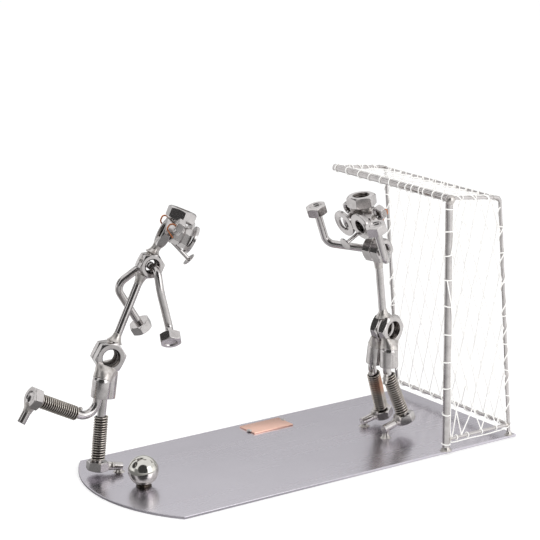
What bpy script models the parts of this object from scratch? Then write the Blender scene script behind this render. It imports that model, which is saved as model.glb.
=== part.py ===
"""A penalty kick in welded hardware: kicker, ball, keeper and a netted goal on a thin steel plate.

Metres, +Z up. The origin is the centre of the plate's underside, +X points towards the goal.
"""
import math

import bmesh
import bpy
from mathutils import Matrix, Vector

MM = 0.001

# Clearances
GAP = 0.3 * MM

# Base plate
PLATE_LENGTH = 250 * MM
PLATE_WIDTH = 110 * MM
PLATE_THICK = 1.5 * MM
PLATE_END_RADIUS = 88 * MM
PLAQUE_LENGTH = 28 * MM
PLAQUE_WIDTH = 15.5 * MM
PLAQUE_THICK = 0.8 * MM
PLAQUE_INSET = 12.2 * MM
PLAQUE_ALONG = 14.6 * MM

# Ball
BALL_RADIUS = 8.5 * MM
BALL_PLACE = (-98 * MM, -1.5 * MM)

# Goal frame
GOAL_NEAR_INSET = 1.4 * MM
GOAL_FAR_INSET = 3.0 * MM
GOAL_LINE = 73.2 * MM
CROSSBAR_HEIGHT = 149.6 * MM
CROSSBAR_RADIUS = 2.0 * MM
POST_RADIUS = 2.1 * MM
ROD_RADIUS = 1.05 * MM
BACK_TOP_DEPTH = 37 * MM
BACK_TOP_DROP = 4.2 * MM
BACK_FOOT_DEPTH = 47.4 * MM
BACK_BEND = 3.6 * MM
TOP_ROD_SHORT = 5 * MM
BOTTOM_BAR_HEIGHT = 8 * MM

# Net
CORD = 0.8 * MM
NET_SIDE_CELLS = 4
NET_BACK_CELLS = 10
NET_ROWS = 9
NET_TOP_ROWS = 3

# Hexagon sizes: width across the flats, thickness and bore
TINY_FLATS, TINY_THICK, TINY_BORE = 8 * MM, 4 * MM, 4.2 * MM
SMALL_FLATS, SMALL_BORE = 10 * MM, 5.4 * MM
MID_FLATS, MID_BORE = 13 * MM, 7.4 * MM
LARGE_FLATS, LARGE_THICK, LARGE_BORE = 16 * MM, 5 * MM, 9.2 * MM
CROWN_FLATS, CROWN_THICK, CROWN_BORE = 15 * MM, 6.6 * MM, 8.4 * MM
FIST_FLATS, FIST_THICK = 11.2 * MM, 5.4 * MM
SINK = 0.8 * MM
BLANK_STEPS = 12
JOINED_STEPS = 15
WASHER_STEPS = 20

# Head
WASHER_RADIUS = 8 * MM
WASHER_HOLE = 4.2 * MM
WASHER_THICK = 1.6 * MM
EYE_GAP = 0.4 * MM
EYE_LENGTH = 10 * MM
EYE_IN = 2.6 * MM
EYE_DROP = 1 * MM
EAR_FRONT = 9.6 * MM
EAR_RISE = 3.6 * MM
NAPE_DROP = 4 * MM
NOSE_RADIUS = 1.1 * MM
NOSE_HEAD_RADIUS = 4 * MM
NOSE_HEAD_THICK = 0.9 * MM
NOSE_ROOT_DROP = 5.4 * MM
WIRE_RADIUS = 0.45 * MM
WIRE_LOOP = 3.3 * MM
NECK_RADIUS = 2.4 * MM

# Body
ARM_RADIUS = 2.2 * MM
SPINE_RADIUS = 2.2 * MM
LEG_RADIUS = 2.45 * MM
TOE_RADIUS = 2.3 * MM
THIGH_RADIUS = 5.3 * MM
THIGH_BORE = 4.4 * MM
THIGH_SPREAD = 5.6 * MM
DISH_RADIUS = 3.6 * MM
DISH_DEPTH = 1.2 * MM
PAD_RADIUS = 2.9 * MM
PAD_TOP_RADIUS = 1.7 * MM

# Springs on the shins
SPRING_OUTER = 4.05 * MM
SPRING_WIRE = 0.5 * MM
SPRING_PITCH = 1.6 * MM
SPRING_TURNS = 15
SPRING_POINTS = 8

PLATE_TOP = PLATE_THICK
UP = Vector((0, 0, 1))
SIDEWAYS = Vector((0, 1, 0))

for leftover in list(bpy.data.objects):
    bpy.data.objects.remove(leftover, do_unlink=True)

parts = bpy.data.collections.new("penalty_kick")
cutters = bpy.data.collections.new("cutters")
bpy.context.scene.collection.children.link(parts)
bpy.context.scene.collection.children.link(cutters)

STEEL = ((0.62, 0.61, 0.59), 0.22, 1.0)
ROD_STEEL = ((0.55, 0.54, 0.52), 0.25, 1.0)
PLATE_STEEL = ((0.44, 0.43, 0.45), 0.4, 1.0)
SPRING_STEEL = ((0.5, 0.48, 0.45), 0.3, 1.0)
COPPER = ((0.8, 0.43, 0.27), 0.3, 1.0)
STRING = ((0.86, 0.86, 0.85), 0.85, 0.0)


def mm(x, y, z):
    return Vector((x, y, z)) * MM


def paint(thing, look):
    colour, roughness, metallic = look
    slot = bpy.data.materials.new(thing.name + "_surface")
    slot.use_nodes = True
    shader = slot.node_tree.nodes["Principled BSDF"]
    shader.inputs["Base Color"].default_value = (*colour, 1)
    shader.inputs["Roughness"].default_value = roughness
    shader.inputs["Metallic"].default_value = metallic
    slot.diffuse_color = (*colour, 1)
    thing.material_slots[0].link = "OBJECT"
    thing.material_slots[0].material = slot


def smooth(data):
    data.shade_smooth()
    data.set_sharp_from_angle(angle=math.radians(32))


def add(name, data, look, matrix=None):
    """A sub-part: one named object with its own material."""
    if not data.materials:
        data.materials.append(None)
    thing = bpy.data.objects.new(name, data)
    parts.objects.link(thing)
    if matrix is not None:
        thing.matrix_world = matrix
    paint(thing, look)
    return thing


def helper(name, data, matrix=None):
    """A cutter or a guide: it shapes other pieces and isn't one itself."""
    thing = bpy.data.objects.new(name, data)
    cutters.objects.link(thing)
    thing.hide_render = True
    thing.display_type = "WIRE"
    if matrix is not None:
        thing.matrix_world = matrix
    return thing


def combine(thing, other, operation):
    step = thing.modifiers.new(operation.lower(), "BOOLEAN")
    step.operation = operation
    step.solver = "EXACT"
    step.object = other


def baked(thing):
    """The object's evaluated shape as a mesh of its own."""
    bpy.context.view_layer.update()
    graph = bpy.context.evaluated_depsgraph_get()
    data = bpy.data.meshes.new_from_object(thing.evaluated_get(graph), depsgraph=graph)
    data.name = thing.name
    return data


def facing(place, axis, flat):
    """A frame whose Z runs along the axis and whose X looks out of a flat."""
    z = axis.normalized()
    x = (flat - z * flat.dot(z)).normalized()
    y = z.cross(x)
    turn = Matrix((x, y, z)).transposed().to_4x4()
    return Matrix.Translation(place) @ turn


def turned(name, profile, steps, ring):
    """A profile of radius and height, drawn down its outer side, revolved about Z."""
    data = bpy.data.meshes.new(name)
    shape = bmesh.new()
    corners = [shape.verts.new((radius, 0, height)) for radius, height in profile]
    for first, second in zip(corners, corners[1:]):
        shape.edges.new((first, second))
    if ring:
        shape.edges.new((corners[-1], corners[0]))
    shape.to_mesh(data)
    shape.free()
    thing = helper(name, data)
    spin = thing.modifiers.new("turn", "SCREW")
    spin.steps = steps
    spin.render_steps = steps
    spin.use_merge_vertices = True
    spin.merge_threshold = 0.00001
    return thing


def blank_profile(flats, thick, bore, dish, pair):
    """The round blank of a hexagon: chamfered corners, with a bore or a dished end."""
    corner = flats / math.sqrt(3) * 1.02
    rim = flats * 0.475
    fall = (corner - rim) * math.tan(math.radians(30))
    half = thick / 2
    waist = [(corner, fall), (rim, 0), (corner, -fall)] if pair else []
    outer = [(rim, half), (corner, half - fall)] + waist + [(corner, fall - half), (rim, -half)]
    if bore:
        inner = bore / 2
        sunk = inner + SINK
        return [(sunk, half)] + outer + [(sunk, -half), (inner, SINK - half), (inner, half - SINK)]
    top = [(0, half - DISH_DEPTH), (DISH_RADIUS - DISH_DEPTH, half - DISH_DEPTH), (DISH_RADIUS, half)]
    return (top if dish else [(0, half)]) + outer + [(0, -half)]


def hexagon(name, flats, thick, bore=0.0, dish=False, pair=False, steps=BLANK_STEPS):
    """A hexagon's mesh, flats looking along X: a six-sided bar cut by its round blank."""
    data = bpy.data.meshes.new(name + "_bar")
    shape = bmesh.new()
    bmesh.ops.create_cone(
        shape, cap_ends=True, segments=6, radius1=flats / math.sqrt(3), radius2=flats / math.sqrt(3),
        depth=thick * 1.5)
    shape.to_mesh(data)
    shape.free()
    bar = helper(name, data)
    profile = blank_profile(flats, thick, bore, dish, pair)
    blank = turned(name + "_blank", profile, steps, bool(bore))
    combine(bar, blank, "INTERSECT")
    result = baked(bar)
    smooth(result)
    for spent in (bar, blank):
        bpy.data.objects.remove(spent, do_unlink=True)
    return result


def rounded(points, radii, steps=4):
    """The points of a path whose inner corners are bent to the given radii."""
    path = [points[0]]
    for before, corner, after, radius in zip(points, points[1:], points[2:], radii):
        to_before = (before - corner).normalized()
        to_after = (after - corner).normalized()
        half = to_before.angle(to_after) / 2
        reach = radius / math.tan(half)
        centre = corner + (to_before + to_after).normalized() * radius / math.sin(half)
        start = corner + to_before * reach - centre
        end = corner + to_after * reach - centre
        turn = start.angle(end)
        for step in range(steps + 1):
            share = step / steps
            path.append(centre + (start * math.sin((1 - share) * turn) + end * math.sin(share * turn))
                        / math.sin(turn))
    path.append(points[-1])
    return path


def rod_curve(name, points, radius, resolution=2):
    data = bpy.data.curves.new(name, "CURVE")
    data.dimensions = "3D"
    data.bevel_depth = radius
    data.bevel_resolution = resolution
    data.use_fill_caps = True
    line = data.splines.new("POLY")
    line.points.add(len(points) - 1)
    line.use_smooth = True
    for slot, point in zip(line.points, points):
        slot.co = (*point, 1)
    return data


def rod(name, points, radius, look, resolution=2):
    return add(name, rod_curve(name, points, radius, resolution), look)


def rod_helper(name, points, radius, resolution=2):
    """A rod as a closed mesh that can be joined to another piece."""
    guide = helper(name, rod_curve(name, points, radius, resolution))
    data = baked(guide)
    shape = bmesh.new()
    shape.from_mesh(data)
    bmesh.ops.remove_doubles(shape, verts=shape.verts, dist=0.000002)
    bmesh.ops.recalc_face_normals(shape, faces=shape.faces)
    shape.to_mesh(data)
    shape.free()
    bpy.data.objects.remove(guide, do_unlink=True)
    return helper(name, data)


def box_mesh(name, size):
    data = bpy.data.meshes.new(name)
    shape = bmesh.new()
    bmesh.ops.create_cube(shape, size=1, matrix=Matrix.Diagonal((*size, 1)))
    shape.to_mesh(data)
    shape.free()
    return data


def lathe_part(name, profile, steps, ring, look, matrix):
    source = turned(name + "_turned", profile, steps, ring)
    data = baked(source)
    bpy.data.objects.remove(source, do_unlink=True)
    smooth(data)
    return add(name, data, look, matrix)


def flat_outline(name, points, thick):
    data = bpy.data.curves.new(name, "CURVE")
    data.dimensions = "2D"
    data.fill_mode = "BOTH"
    data.extrude = thick / 2
    line = data.splines.new("POLY")
    line.points.add(len(points) - 1)
    for slot, (x, y) in zip(line.points, points):
        slot.co = (x, y, 0, 1)
    line.use_cyclic_u = True
    return data


# The plate: square at the goal, one long arc behind the kicker
def plate_outline():
    half = PLATE_WIDTH / 2
    right = PLATE_LENGTH / 2
    centre = -PLATE_LENGTH / 2 + PLATE_END_RADIUS
    spread = math.asin(half / PLATE_END_RADIUS)
    steps = 28
    outline = [(right, -half), (right, half)]
    for step in range(steps + 1):
        angle = math.pi - spread + 2 * spread * step / steps
        outline.append((centre + PLATE_END_RADIUS * math.cos(angle), PLATE_END_RADIUS * math.sin(angle)))
    return outline


add("base_plate", flat_outline("base_plate", plate_outline(), PLATE_THICK), PLATE_STEEL,
    Matrix.Translation((0, 0, PLATE_THICK / 2)))

plaque = add("plaque", box_mesh("plaque", (PLAQUE_LENGTH, PLAQUE_WIDTH, PLAQUE_THICK)), COPPER,
             Matrix.Translation((PLAQUE_ALONG, PLATE_WIDTH / 2 - PLAQUE_INSET, PLATE_TOP + PLAQUE_THICK / 2)))

ball_mesh = bpy.data.meshes.new("ball")
ball_shape = bmesh.new()
bmesh.ops.create_uvsphere(ball_shape, u_segments=20, v_segments=12, radius=BALL_RADIUS)
ball_shape.to_mesh(ball_mesh)
ball_shape.free()
ball_mesh.shade_smooth()
add("ball", ball_mesh, STEEL, Matrix.Translation((*BALL_PLACE, PLATE_TOP + GAP + BALL_RADIUS)))

# The goal frame
near_y = GOAL_NEAR_INSET - PLATE_WIDTH / 2
far_y = PLATE_WIDTH / 2 - GOAL_FAR_INSET
back_top = Vector((GOAL_LINE + BACK_TOP_DEPTH, 0, CROSSBAR_HEIGHT - BACK_TOP_DROP))
back_foot = Vector((GOAL_LINE + BACK_FOOT_DEPTH, 0, PLATE_TOP + GAP))
top_front = Vector((GOAL_LINE + CROSSBAR_RADIUS + GAP, 0, CROSSBAR_HEIGHT))
top_run = (back_top - top_front).normalized()
post_run = (back_foot - back_top).normalized()
bend_half = (-top_run).angle(post_run) / 2
bend_point = back_top + (post_run - top_run).normalized() * (BACK_BEND / math.sin(bend_half) - BACK_BEND)
joint_point = back_top - top_run * TOP_ROD_SHORT


def at_side(point, y):
    return Vector((point.x, y, point.z))


def on_back_post(height):
    share = (back_top.z - height) / (back_top.z - back_foot.z)
    return back_top.lerp(back_foot, share)


rod("near_post", [Vector((GOAL_LINE, near_y, PLATE_TOP + GAP)),
                  Vector((GOAL_LINE, near_y, CROSSBAR_HEIGHT - CROSSBAR_RADIUS - GAP))],
    POST_RADIUS, ROD_STEEL, 3)
rod("crossbar", [Vector((GOAL_LINE, near_y - POST_RADIUS, CROSSBAR_HEIGHT)),
                 Vector((GOAL_LINE, far_y + ROD_RADIUS, CROSSBAR_HEIGHT))],
    CROSSBAR_RADIUS, ROD_STEEL, 3)
for side, y in (("near", near_y), ("far", far_y)):
    rod(side + "_top_rod", [at_side(top_front, y), at_side(joint_point - top_run * GAP, y)],
        ROD_RADIUS, ROD_STEEL)
    corner_path = rounded([at_side(joint_point, y), at_side(back_top, y), at_side(back_foot, y)],
                          [BACK_BEND], 6)
    rod(side + "_back_post", corner_path, ROD_RADIUS, ROD_STEEL)

inner_near = near_y + ROD_RADIUS + GAP
inner_far = far_y - ROD_RADIUS - GAP
low_back = on_back_post(BOTTOM_BAR_HEIGHT)
rod("back_top_bar", [at_side(bend_point, inner_near), at_side(bend_point, inner_far)], ROD_RADIUS, ROD_STEEL)
rod("back_bottom_bar", [at_side(low_back, inner_near), at_side(low_back, inner_far)], ROD_RADIUS, ROD_STEEL)
rod("near_bottom_bar", [Vector((GOAL_LINE + POST_RADIUS + GAP, near_y, BOTTOM_BAR_HEIGHT)),
                        Vector((low_back.x - ROD_RADIUS - GAP, near_y, BOTTOM_BAR_HEIGHT))],
    ROD_RADIUS, ROD_STEEL)


# The net: diamonds of cord whose outer points meet the rods
def net(name, corners, cells, rows):
    """A flat net over four corners: low start, low end, high end, high start."""
    low_start, low_end, high_end, high_start = corners
    columns = cells * 2
    data = bpy.data.meshes.new(name)
    shape = bmesh.new()
    knots = {}
    for row in range(rows + 1):
        for column in range(columns + 1):
            if (row + column) % 2 == 0:
                low = low_start.lerp(low_end, column / columns)
                high = high_start.lerp(high_end, column / columns)
                knots[column, row] = shape.verts.new(low.lerp(high, row / rows))
    for row in range(1, rows):
        for column in range(1, columns):
            if (row + column) % 2 == 1:
                shape.faces.new((knots[column, row - 1], knots[column + 1, row],
                                 knots[column, row + 1], knots[column - 1, row]))
    shape.to_mesh(data)
    shape.free()
    thing = add(name, data, STRING)
    cords = thing.modifiers.new("cords", "WIREFRAME")
    cords.thickness = CORD
    cords.use_replace = True
    cords.use_boundary = True
    cords.use_even_offset = True
    cords.offset = 0
    return thing


keep_off = GAP + CORD
thin = ROD_RADIUS + keep_off
side_low = BOTTOM_BAR_HEIGHT + thin
side_front = GOAL_LINE + POST_RADIUS + keep_off
side_high_front = top_front + top_run * (POST_RADIUS + keep_off)
side_high_back = bend_point - top_run * thin
net("net_side", (
    Vector((side_front, near_y, side_low)),
    Vector((on_back_post(side_low).x - thin * 1.1, near_y, side_low)),
    Vector((on_back_post(side_high_back.z - thin * 1.4).x - thin * 1.1, near_y, side_high_back.z - thin * 1.4)),
    Vector((side_front, near_y, side_high_front.z - thin * 1.4))), NET_SIDE_CELLS, NET_ROWS)
back_low = low_back - post_run * thin
back_high = bend_point + (low_back - bend_point).normalized() * thin
net("net_back", (
    at_side(back_low, inner_near + keep_off), at_side(back_low, inner_far - keep_off),
    at_side(back_high, inner_far - keep_off), at_side(back_high, inner_near + keep_off)),
    NET_BACK_CELLS, NET_ROWS)
top_span = (bend_point - top_front).normalized()
top_low = top_front + top_span * keep_off
top_high = bend_point - top_span * thin
net("net_top", (
    at_side(top_low, inner_near + keep_off), at_side(top_low, inner_far - keep_off),
    at_side(top_high, inner_far - keep_off), at_side(top_high, inner_near + keep_off)),
    NET_BACK_CELLS, NET_TOP_ROWS)

# Hexagons that both figures share
tiny_nut = hexagon("tiny_nut", TINY_FLATS, TINY_THICK, TINY_BORE)
large_nut = hexagon("large_nut", LARGE_FLATS, LARGE_THICK, LARGE_BORE)
nape_nut = hexagon("nape_nut", LARGE_FLATS, LARGE_THICK, LARGE_BORE, steps=JOINED_STEPS)
crown_nut = hexagon("crown_nut", CROWN_FLATS, CROWN_THICK, CROWN_BORE)
eye_nuts = hexagon("eye_nuts", SMALL_FLATS, EYE_LENGTH, SMALL_BORE, pair=True, steps=JOINED_STEPS)
fist = hexagon("fist", FIST_FLATS, FIST_THICK, dish=True)


def bolt(name, end, axis, flat, limbs, look):
    """A hexagon end joined to its rods: each limb is a path and a radius."""
    thing = add(name, fist.copy(), look, facing(end, axis, flat))
    for number, (path, radius) in enumerate(limbs):
        combine(thing, rod_helper(f"{name}_limb_{number}", path, radius), "UNION")
    return thing


def seat(start, way, radius, centre, across, flats):
    """Where a rod's square end stops, one gap before a hexagon whose flats look up and down."""
    way = way.normalized()
    aside = way.cross(across).normalized()
    normals = [Matrix.Rotation(math.radians(60 * face), 3, across) @ UP for face in range(6)]
    travel = math.inf
    for step in range(-4, 5):
        origin = start + aside * radius * step / 4
        enter, leave = -math.inf, math.inf
        for normal in normals:
            closing = way.dot(normal)
            crossing = (centre + normal * flats / 2 - origin).dot(normal) / closing
            if closing < 0:
                enter = max(enter, crossing)
            else:
                leave = min(leave, crossing)
        if enter < leave:
            travel = min(travel, enter)
    return start + way * (travel - GAP)


def spring_path(start, axis):
    """One unbroken coil: a straight end of one wire diameter, the turns, and the other end."""
    frame = facing(start, axis, SIDEWAYS)
    middle = SPRING_OUTER - SPRING_WIRE
    tail = 2 * SPRING_WIRE
    count = SPRING_TURNS * SPRING_POINTS
    path = [Vector((middle, 0, 0))]
    for step in range(count + 1):
        angle = 2 * math.pi * step / SPRING_POINTS
        rise = tail + SPRING_PITCH * step / SPRING_POINTS
        path.append(Vector((middle * math.cos(angle), middle * math.sin(angle), rise)))
    path.append(path[-1] + Vector((0, 0, tail)))
    return [frame @ point for point in path]


def least_gap(path):
    """The least distance between the coil's surface and itself, past its own next few points."""
    least = math.inf
    for first in range(len(path)):
        for second in range(first + SPRING_POINTS // 2, len(path)):
            least = min(least, (path[first] - path[second]).length)
    return least - 2 * SPRING_WIRE


def figure(name, forward, shoulder, hips, body, head, spine, arms, legs):
    """A welded figure. forward is +1 or -1 along X. Its pieces on -Y come first in each pair."""
    shoulder = shoulder + UP * PLATE_TOP
    hips = hips + UP * PLATE_TOP
    body_turn, shoulder_thick, hip_gap = body
    nape, head_turn, pitch, roll, crown_turn, crown_pitch, crown_twist, crown_place, neck_foot, nose = head
    nape = nape + UP * PLATE_TOP
    across = Vector((math.sin(body_turn), math.cos(body_turn), 0))
    level = Matrix.Rotation(head_turn, 3, "Z") @ Vector((forward, 0, 0))
    front = level * math.cos(pitch) - UP * math.sin(pitch)
    crown = level * math.sin(pitch) + UP * math.cos(pitch)
    lateral = Matrix.Rotation(head_turn, 3, "Z") @ SIDEWAYS
    lateral, crown = (lateral * math.cos(roll) - crown * math.sin(roll),
                      crown * math.cos(roll) + lateral * math.sin(roll))
    sides = (("right", -1), ("left", 1)) if forward > 0 else (("left", -1), ("right", 1))

    # The face plane lies ahead of the nape nut, whose rear stands one gap behind the eyes
    eye_back = WASHER_THICK + EYE_LENGTH - GAP
    nape_middle = eye_back + GAP + LARGE_THICK / 2
    face = nape + front * nape_middle + crown * NAPE_DROP

    def on_head(ahead, aside, above):
        return face + front * ahead + lateral * aside + crown * above

    # Neck: a nut behind the eyes on a short rod
    neck = add(name + "_neck", nape_nut.copy(), STEEL, facing(nape, front, crown))
    nape_floor = nape - crown * LARGE_FLATS / 2
    foot = shoulder + Vector((neck_foot, 0, MID_FLATS / 2))
    way = foot - nape_floor
    neck_low = seat(nape_floor, way, NECK_RADIUS, shoulder, across, MID_FLATS)
    combine(neck, rod_helper(name + "_neck_rod", [nape_floor - way.normalized() * 1.5 * MM, neck_low],
                             NECK_RADIUS, 3), "UNION")

    # Crown nut over the eyes
    crown_back, crown_rise = crown_place
    level_crown = Matrix.Rotation(crown_turn, 3, "Z") @ Vector((forward, 0, 0))
    crown_axis = level_crown * math.sin(crown_pitch) + UP * math.cos(crown_pitch)
    crown_front = level_crown * math.cos(crown_pitch) - UP * math.sin(crown_pitch)
    looking = Matrix.Rotation(crown_twist, 3, crown_axis) @ crown_front
    add(name + "_head_nut", crown_nut, STEEL,
        facing(on_head(-crown_back, 0, crown_rise), crown_axis, looking))

    # Eyes: a washer on two nuts end to end. Ears: a nut beside each eye
    eye_out = WASHER_RADIUS + EYE_GAP / 2
    ear_out = eye_out - EYE_IN + SMALL_FLATS / 2 + TINY_FLATS / 2 + GAP
    for side, hand in sides:
        eye = add(f"{name}_eye_{side}", eye_nuts.copy(), STEEL,
                  facing(on_head(-eye_back + EYE_LENGTH / 2, hand * (eye_out - EYE_IN), -EYE_DROP),
                         front, lateral))
        washer = turned(f"{name}_washer_{side}", [
            (WASHER_HOLE, WASHER_THICK / 2), (WASHER_RADIUS, WASHER_THICK / 2),
            (WASHER_RADIUS, -WASHER_THICK / 2), (WASHER_HOLE, -WASHER_THICK / 2)], WASHER_STEPS, True)
        washer.matrix_world = facing(on_head(-WASHER_THICK / 2, hand * eye_out, 0), front, crown)
        combine(eye, washer, "UNION")
        add(f"{name}_ear_nut_{side}", tiny_nut, STEEL,
            facing(on_head(-EAR_FRONT - TINY_THICK / 2, hand * ear_out, EAR_RISE), front, lateral))
        ear_rear = EAR_FRONT + TINY_THICK
        beside = ear_out - TINY_FLATS / 2 + WIRE_RADIUS
        rod(f"{name}_wire_{side}", rounded([
            on_head(-ear_rear + TINY_THICK * 0.4, hand * ear_out, EAR_RISE),
            on_head(-ear_rear - WIRE_LOOP, hand * ear_out, EAR_RISE),
            on_head(-ear_rear - WIRE_LOOP, hand * (ear_out + beside) / 2, EAR_RISE - TINY_FLATS / 2),
            on_head(-eye_back, hand * beside, -EYE_DROP - SMALL_FLATS * 0.25)],
            [2 * MM, 2 * MM], 4), WIRE_RADIUS, COPPER, 1)

    # Nose: a nail from before the nape nut out under the eyes
    nose_slope, nose_reach = nose
    nose_way = front * math.cos(nose_slope) - crown * math.sin(nose_slope)
    root = on_head(-eye_back, 0, -NOSE_ROOT_DROP)
    reach = (nose_reach + eye_back) / math.cos(nose_slope)
    lathe_part(name + "_nose_nail", [
        (0, reach), (NOSE_HEAD_RADIUS, reach), (NOSE_HEAD_RADIUS, reach - NOSE_HEAD_THICK),
        (NOSE_RADIUS, reach - NOSE_HEAD_THICK), (NOSE_RADIUS, 0), (0, 0)], 12, False, STEEL,
        facing(root, nose_way, lateral))

    # Shoulders and hips: a pair of nuts end to end across the body
    shoulder_nut = hexagon(name + "_shoulder_nut", MID_FLATS, shoulder_thick, MID_BORE)
    for side, hand in sides:
        place = shoulder + across * hand * (shoulder_thick + GAP) / 2
        add(f"{name}_shoulder_nut_{side}", shoulder_nut, STEEL, facing(place, across, UP))
        place = hips + across * hand * (LARGE_THICK + hip_gap) / 2
        add(f"{name}_hip_nut_{side}", large_nut, STEEL, facing(place, across, UP))

    # Spine between them, its square ends on their flats
    low_shift, high_shift = spine
    low = hips + Vector((low_shift, 0, LARGE_FLATS / 2))
    high = shoulder + high_shift
    middle = (low + high) / 2
    rod(name + "_spine", [
        seat(middle, low - high, SPINE_RADIUS, hips, across, LARGE_FLATS),
        seat(middle, high - low, SPINE_RADIUS, shoulder, across, MID_FLATS)], SPINE_RADIUS, ROD_STEEL, 3)

    # Arms: bent rods from the shoulder bores, each with a dished hexagon for a fist
    slack = MID_BORE / 2 - ARM_RADIUS - GAP
    for (side, hand), arm in zip(sides, arms):
        out, bends, fist_place, radii = arm
        bore = shoulder + Vector((forward * slack * 0.6, 0, -slack * 0.6))
        inside = bore + across * hand * GAP * 3
        leaving = bore + across * hand * (shoulder_thick + GAP + out)
        path = [inside, leaving] + [shoulder + bend for bend in bends] + [shoulder + fist_place]
        axis = path[-1] - path[-2]
        limb = rounded(path, radii)
        flat = SIDEWAYS if abs(axis.normalized().y) < 0.8 else UP
        bolt(f"{name}_arm_{side}", shoulder + fist_place, axis, flat, [(limb, ARM_RADIUS)], ROD_STEEL)

    # Legs: a sleeve for the thigh, a bent rod down to a hexagon heel, and a toe rod welded on
    floor = hips - UP * LARGE_FLATS / 2
    for (side, hand), leg in zip(sides, legs):
        shift, slope, thigh_long, rod_shift, knee, knee_radius, heel, toe, planted = leg
        down = Vector((slope[0], hand * slope[1], -1)).normalized()
        above = hips + across * hand * THIGH_SPREAD + Vector((shift, 0, 0))
        under = Vector((above.x, above.y, floor.z)) + down * thigh_long
        top = seat(under, -down, THIGH_RADIUS, hips, across, LARGE_FLATS)
        bottom = top + down * thigh_long
        lathe_part(f"{name}_thigh_{side}", [
            (THIGH_BORE, thigh_long), (THIGH_RADIUS, thigh_long), (THIGH_RADIUS, 0), (THIGH_BORE, 0)],
            16, True, STEEL, facing(bottom, -down, SIDEWAYS))
        heel_point = hips + heel
        toe_point = hips + toe
        leaving = bottom + Vector((rod_shift, 0, 0))
        knee_point = leaving + down * ((hips + knee) - leaving).dot(down)
        shin = (heel_point - knee_point).normalized()
        upper = leaving - down * thigh_long * 0.5
        bend = rounded([upper, knee_point, heel_point], [knee_radius], 5)
        toe_way = toe_point - heel_point
        limbs = [(bend, LEG_RADIUS), ([heel_point, toe_point], TOE_RADIUS)]
        foot = bolt(f"{name}_leg_{side}", heel_point, shin, toe_way, limbs, ROD_STEEL)
        if planted:
            pad = bpy.data.meshes.new(f"{name}_pad_{side}")
            shape = bmesh.new()
            spot = toe_point - toe_way.normalized() * PAD_RADIUS * 0.7
            height = spot.z - PLATE_TOP - GAP
            bmesh.ops.create_cone(
                shape, cap_ends=True, segments=12, radius1=PAD_RADIUS, radius2=PAD_TOP_RADIUS, depth=height,
                matrix=Matrix.Translation((spot.x, spot.y, PLATE_TOP + GAP + height / 2)))
            shape.to_mesh(pad)
            shape.free()
            combine(foot, helper(f"{name}_pad_{side}", pad), "UNION")
        start = heel_point - shin * (FIST_THICK / 2 + GAP)
        path = spring_path(start, -shin)
        print(f"{name}_spring_{side}: least gap to itself {least_gap(path) / MM:.2f} mm")
        rod(f"{name}_spring_{side}", path, SPRING_WIRE, SPRING_STEEL, 1)


figure(
    "kicker", 1, shoulder=mm(-75.3, 24, 116.5), hips=mm(-103.4, 24, 69.2),
    body=(math.radians(12), 4.4 * MM, GAP),
    head=(mm(-66.2, 22.5, 133.7), math.radians(-26), math.radians(30), math.radians(4),
          math.radians(-12), math.radians(24), math.radians(-9), (10.8 * MM, 8.9 * MM), 1.4 * MM, (math.radians(19), 5.4 * MM)),
    spine=(4.6 * MM, mm(-5.2, 0, -4)),
    arms=(
        (5 * MM, (mm(-0.6, -11.3, -13),), mm(5.5, -11.5, -40.4), (4.2 * MM, 30 * MM)),
        (4 * MM, (mm(-15.6, 11.8, -12),), mm(0.3, 12, -37.5), (3.6 * MM, 6 * MM))),
    legs=(
        (-5.9 * MM, (-0.16, 0), 12.8 * MM, -1.6 * MM, mm(-14.2, -5.4, -33), 8 * MM,
         mm(-50, -5.6, -13.6), mm(-58.4, -5.6, -25.8), False),
        (2.4 * MM, (-0.157, 0), 16.5 * MM, -1.6 * MM, mm(1, 5.6, -37.2), 9 * MM,
         mm(-6, 5, -63.9), mm(7.9, 1.5, -66.1), True)))

figure(
    "keeper", -1, shoulder=mm(61.9, -3, 110.4), hips=mm(69, -3, 61.9),
    body=(math.radians(-10), 6.1 * MM, 1.6 * MM),
    head=(mm(58.5, -2.7, 128.7), 0, math.radians(22), math.radians(5),
          0, math.radians(8), math.radians(2), (12 * MM, 9.7 * MM), 0.5 * MM, (math.radians(6), 9 * MM)),
    spine=(-2.8 * MM, mm(0.8, 0, -6)),
    arms=(
        (1.5 * MM, (mm(-14.7, -27, 0.6),), mm(-21.7, -27, 20.6), (3 * MM, 6 * MM)),
        (1.5 * MM, (mm(-16.7, 27, 1),), mm(-23.7, 27, 21.8), (3 * MM, 6 * MM))),
    legs=(
        (-3.5 * MM, (-0.03, 0.05), 13.2 * MM, -1.6 * MM, mm(-8.6, -6.8, -23.4), 7 * MM,
         mm(4.6, -11.5, -52.8), mm(-11.9, -12.5, -56.5), True),
        (-1.6 * MM, (-0.05, 0.11), 13.8 * MM, -1.6 * MM, mm(-10.3, 7.6, -24.4), 7 * MM,
         mm(5.8, 11.5, -55.2), mm(-9.1, 12, -58.8), True)))
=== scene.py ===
"""A welded steel penalty kick: nuts, washers, springs and bent rod on a satin plate, with a corded goal."""

import math

import bpy
from mathutils import Matrix, Vector, noise


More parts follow.
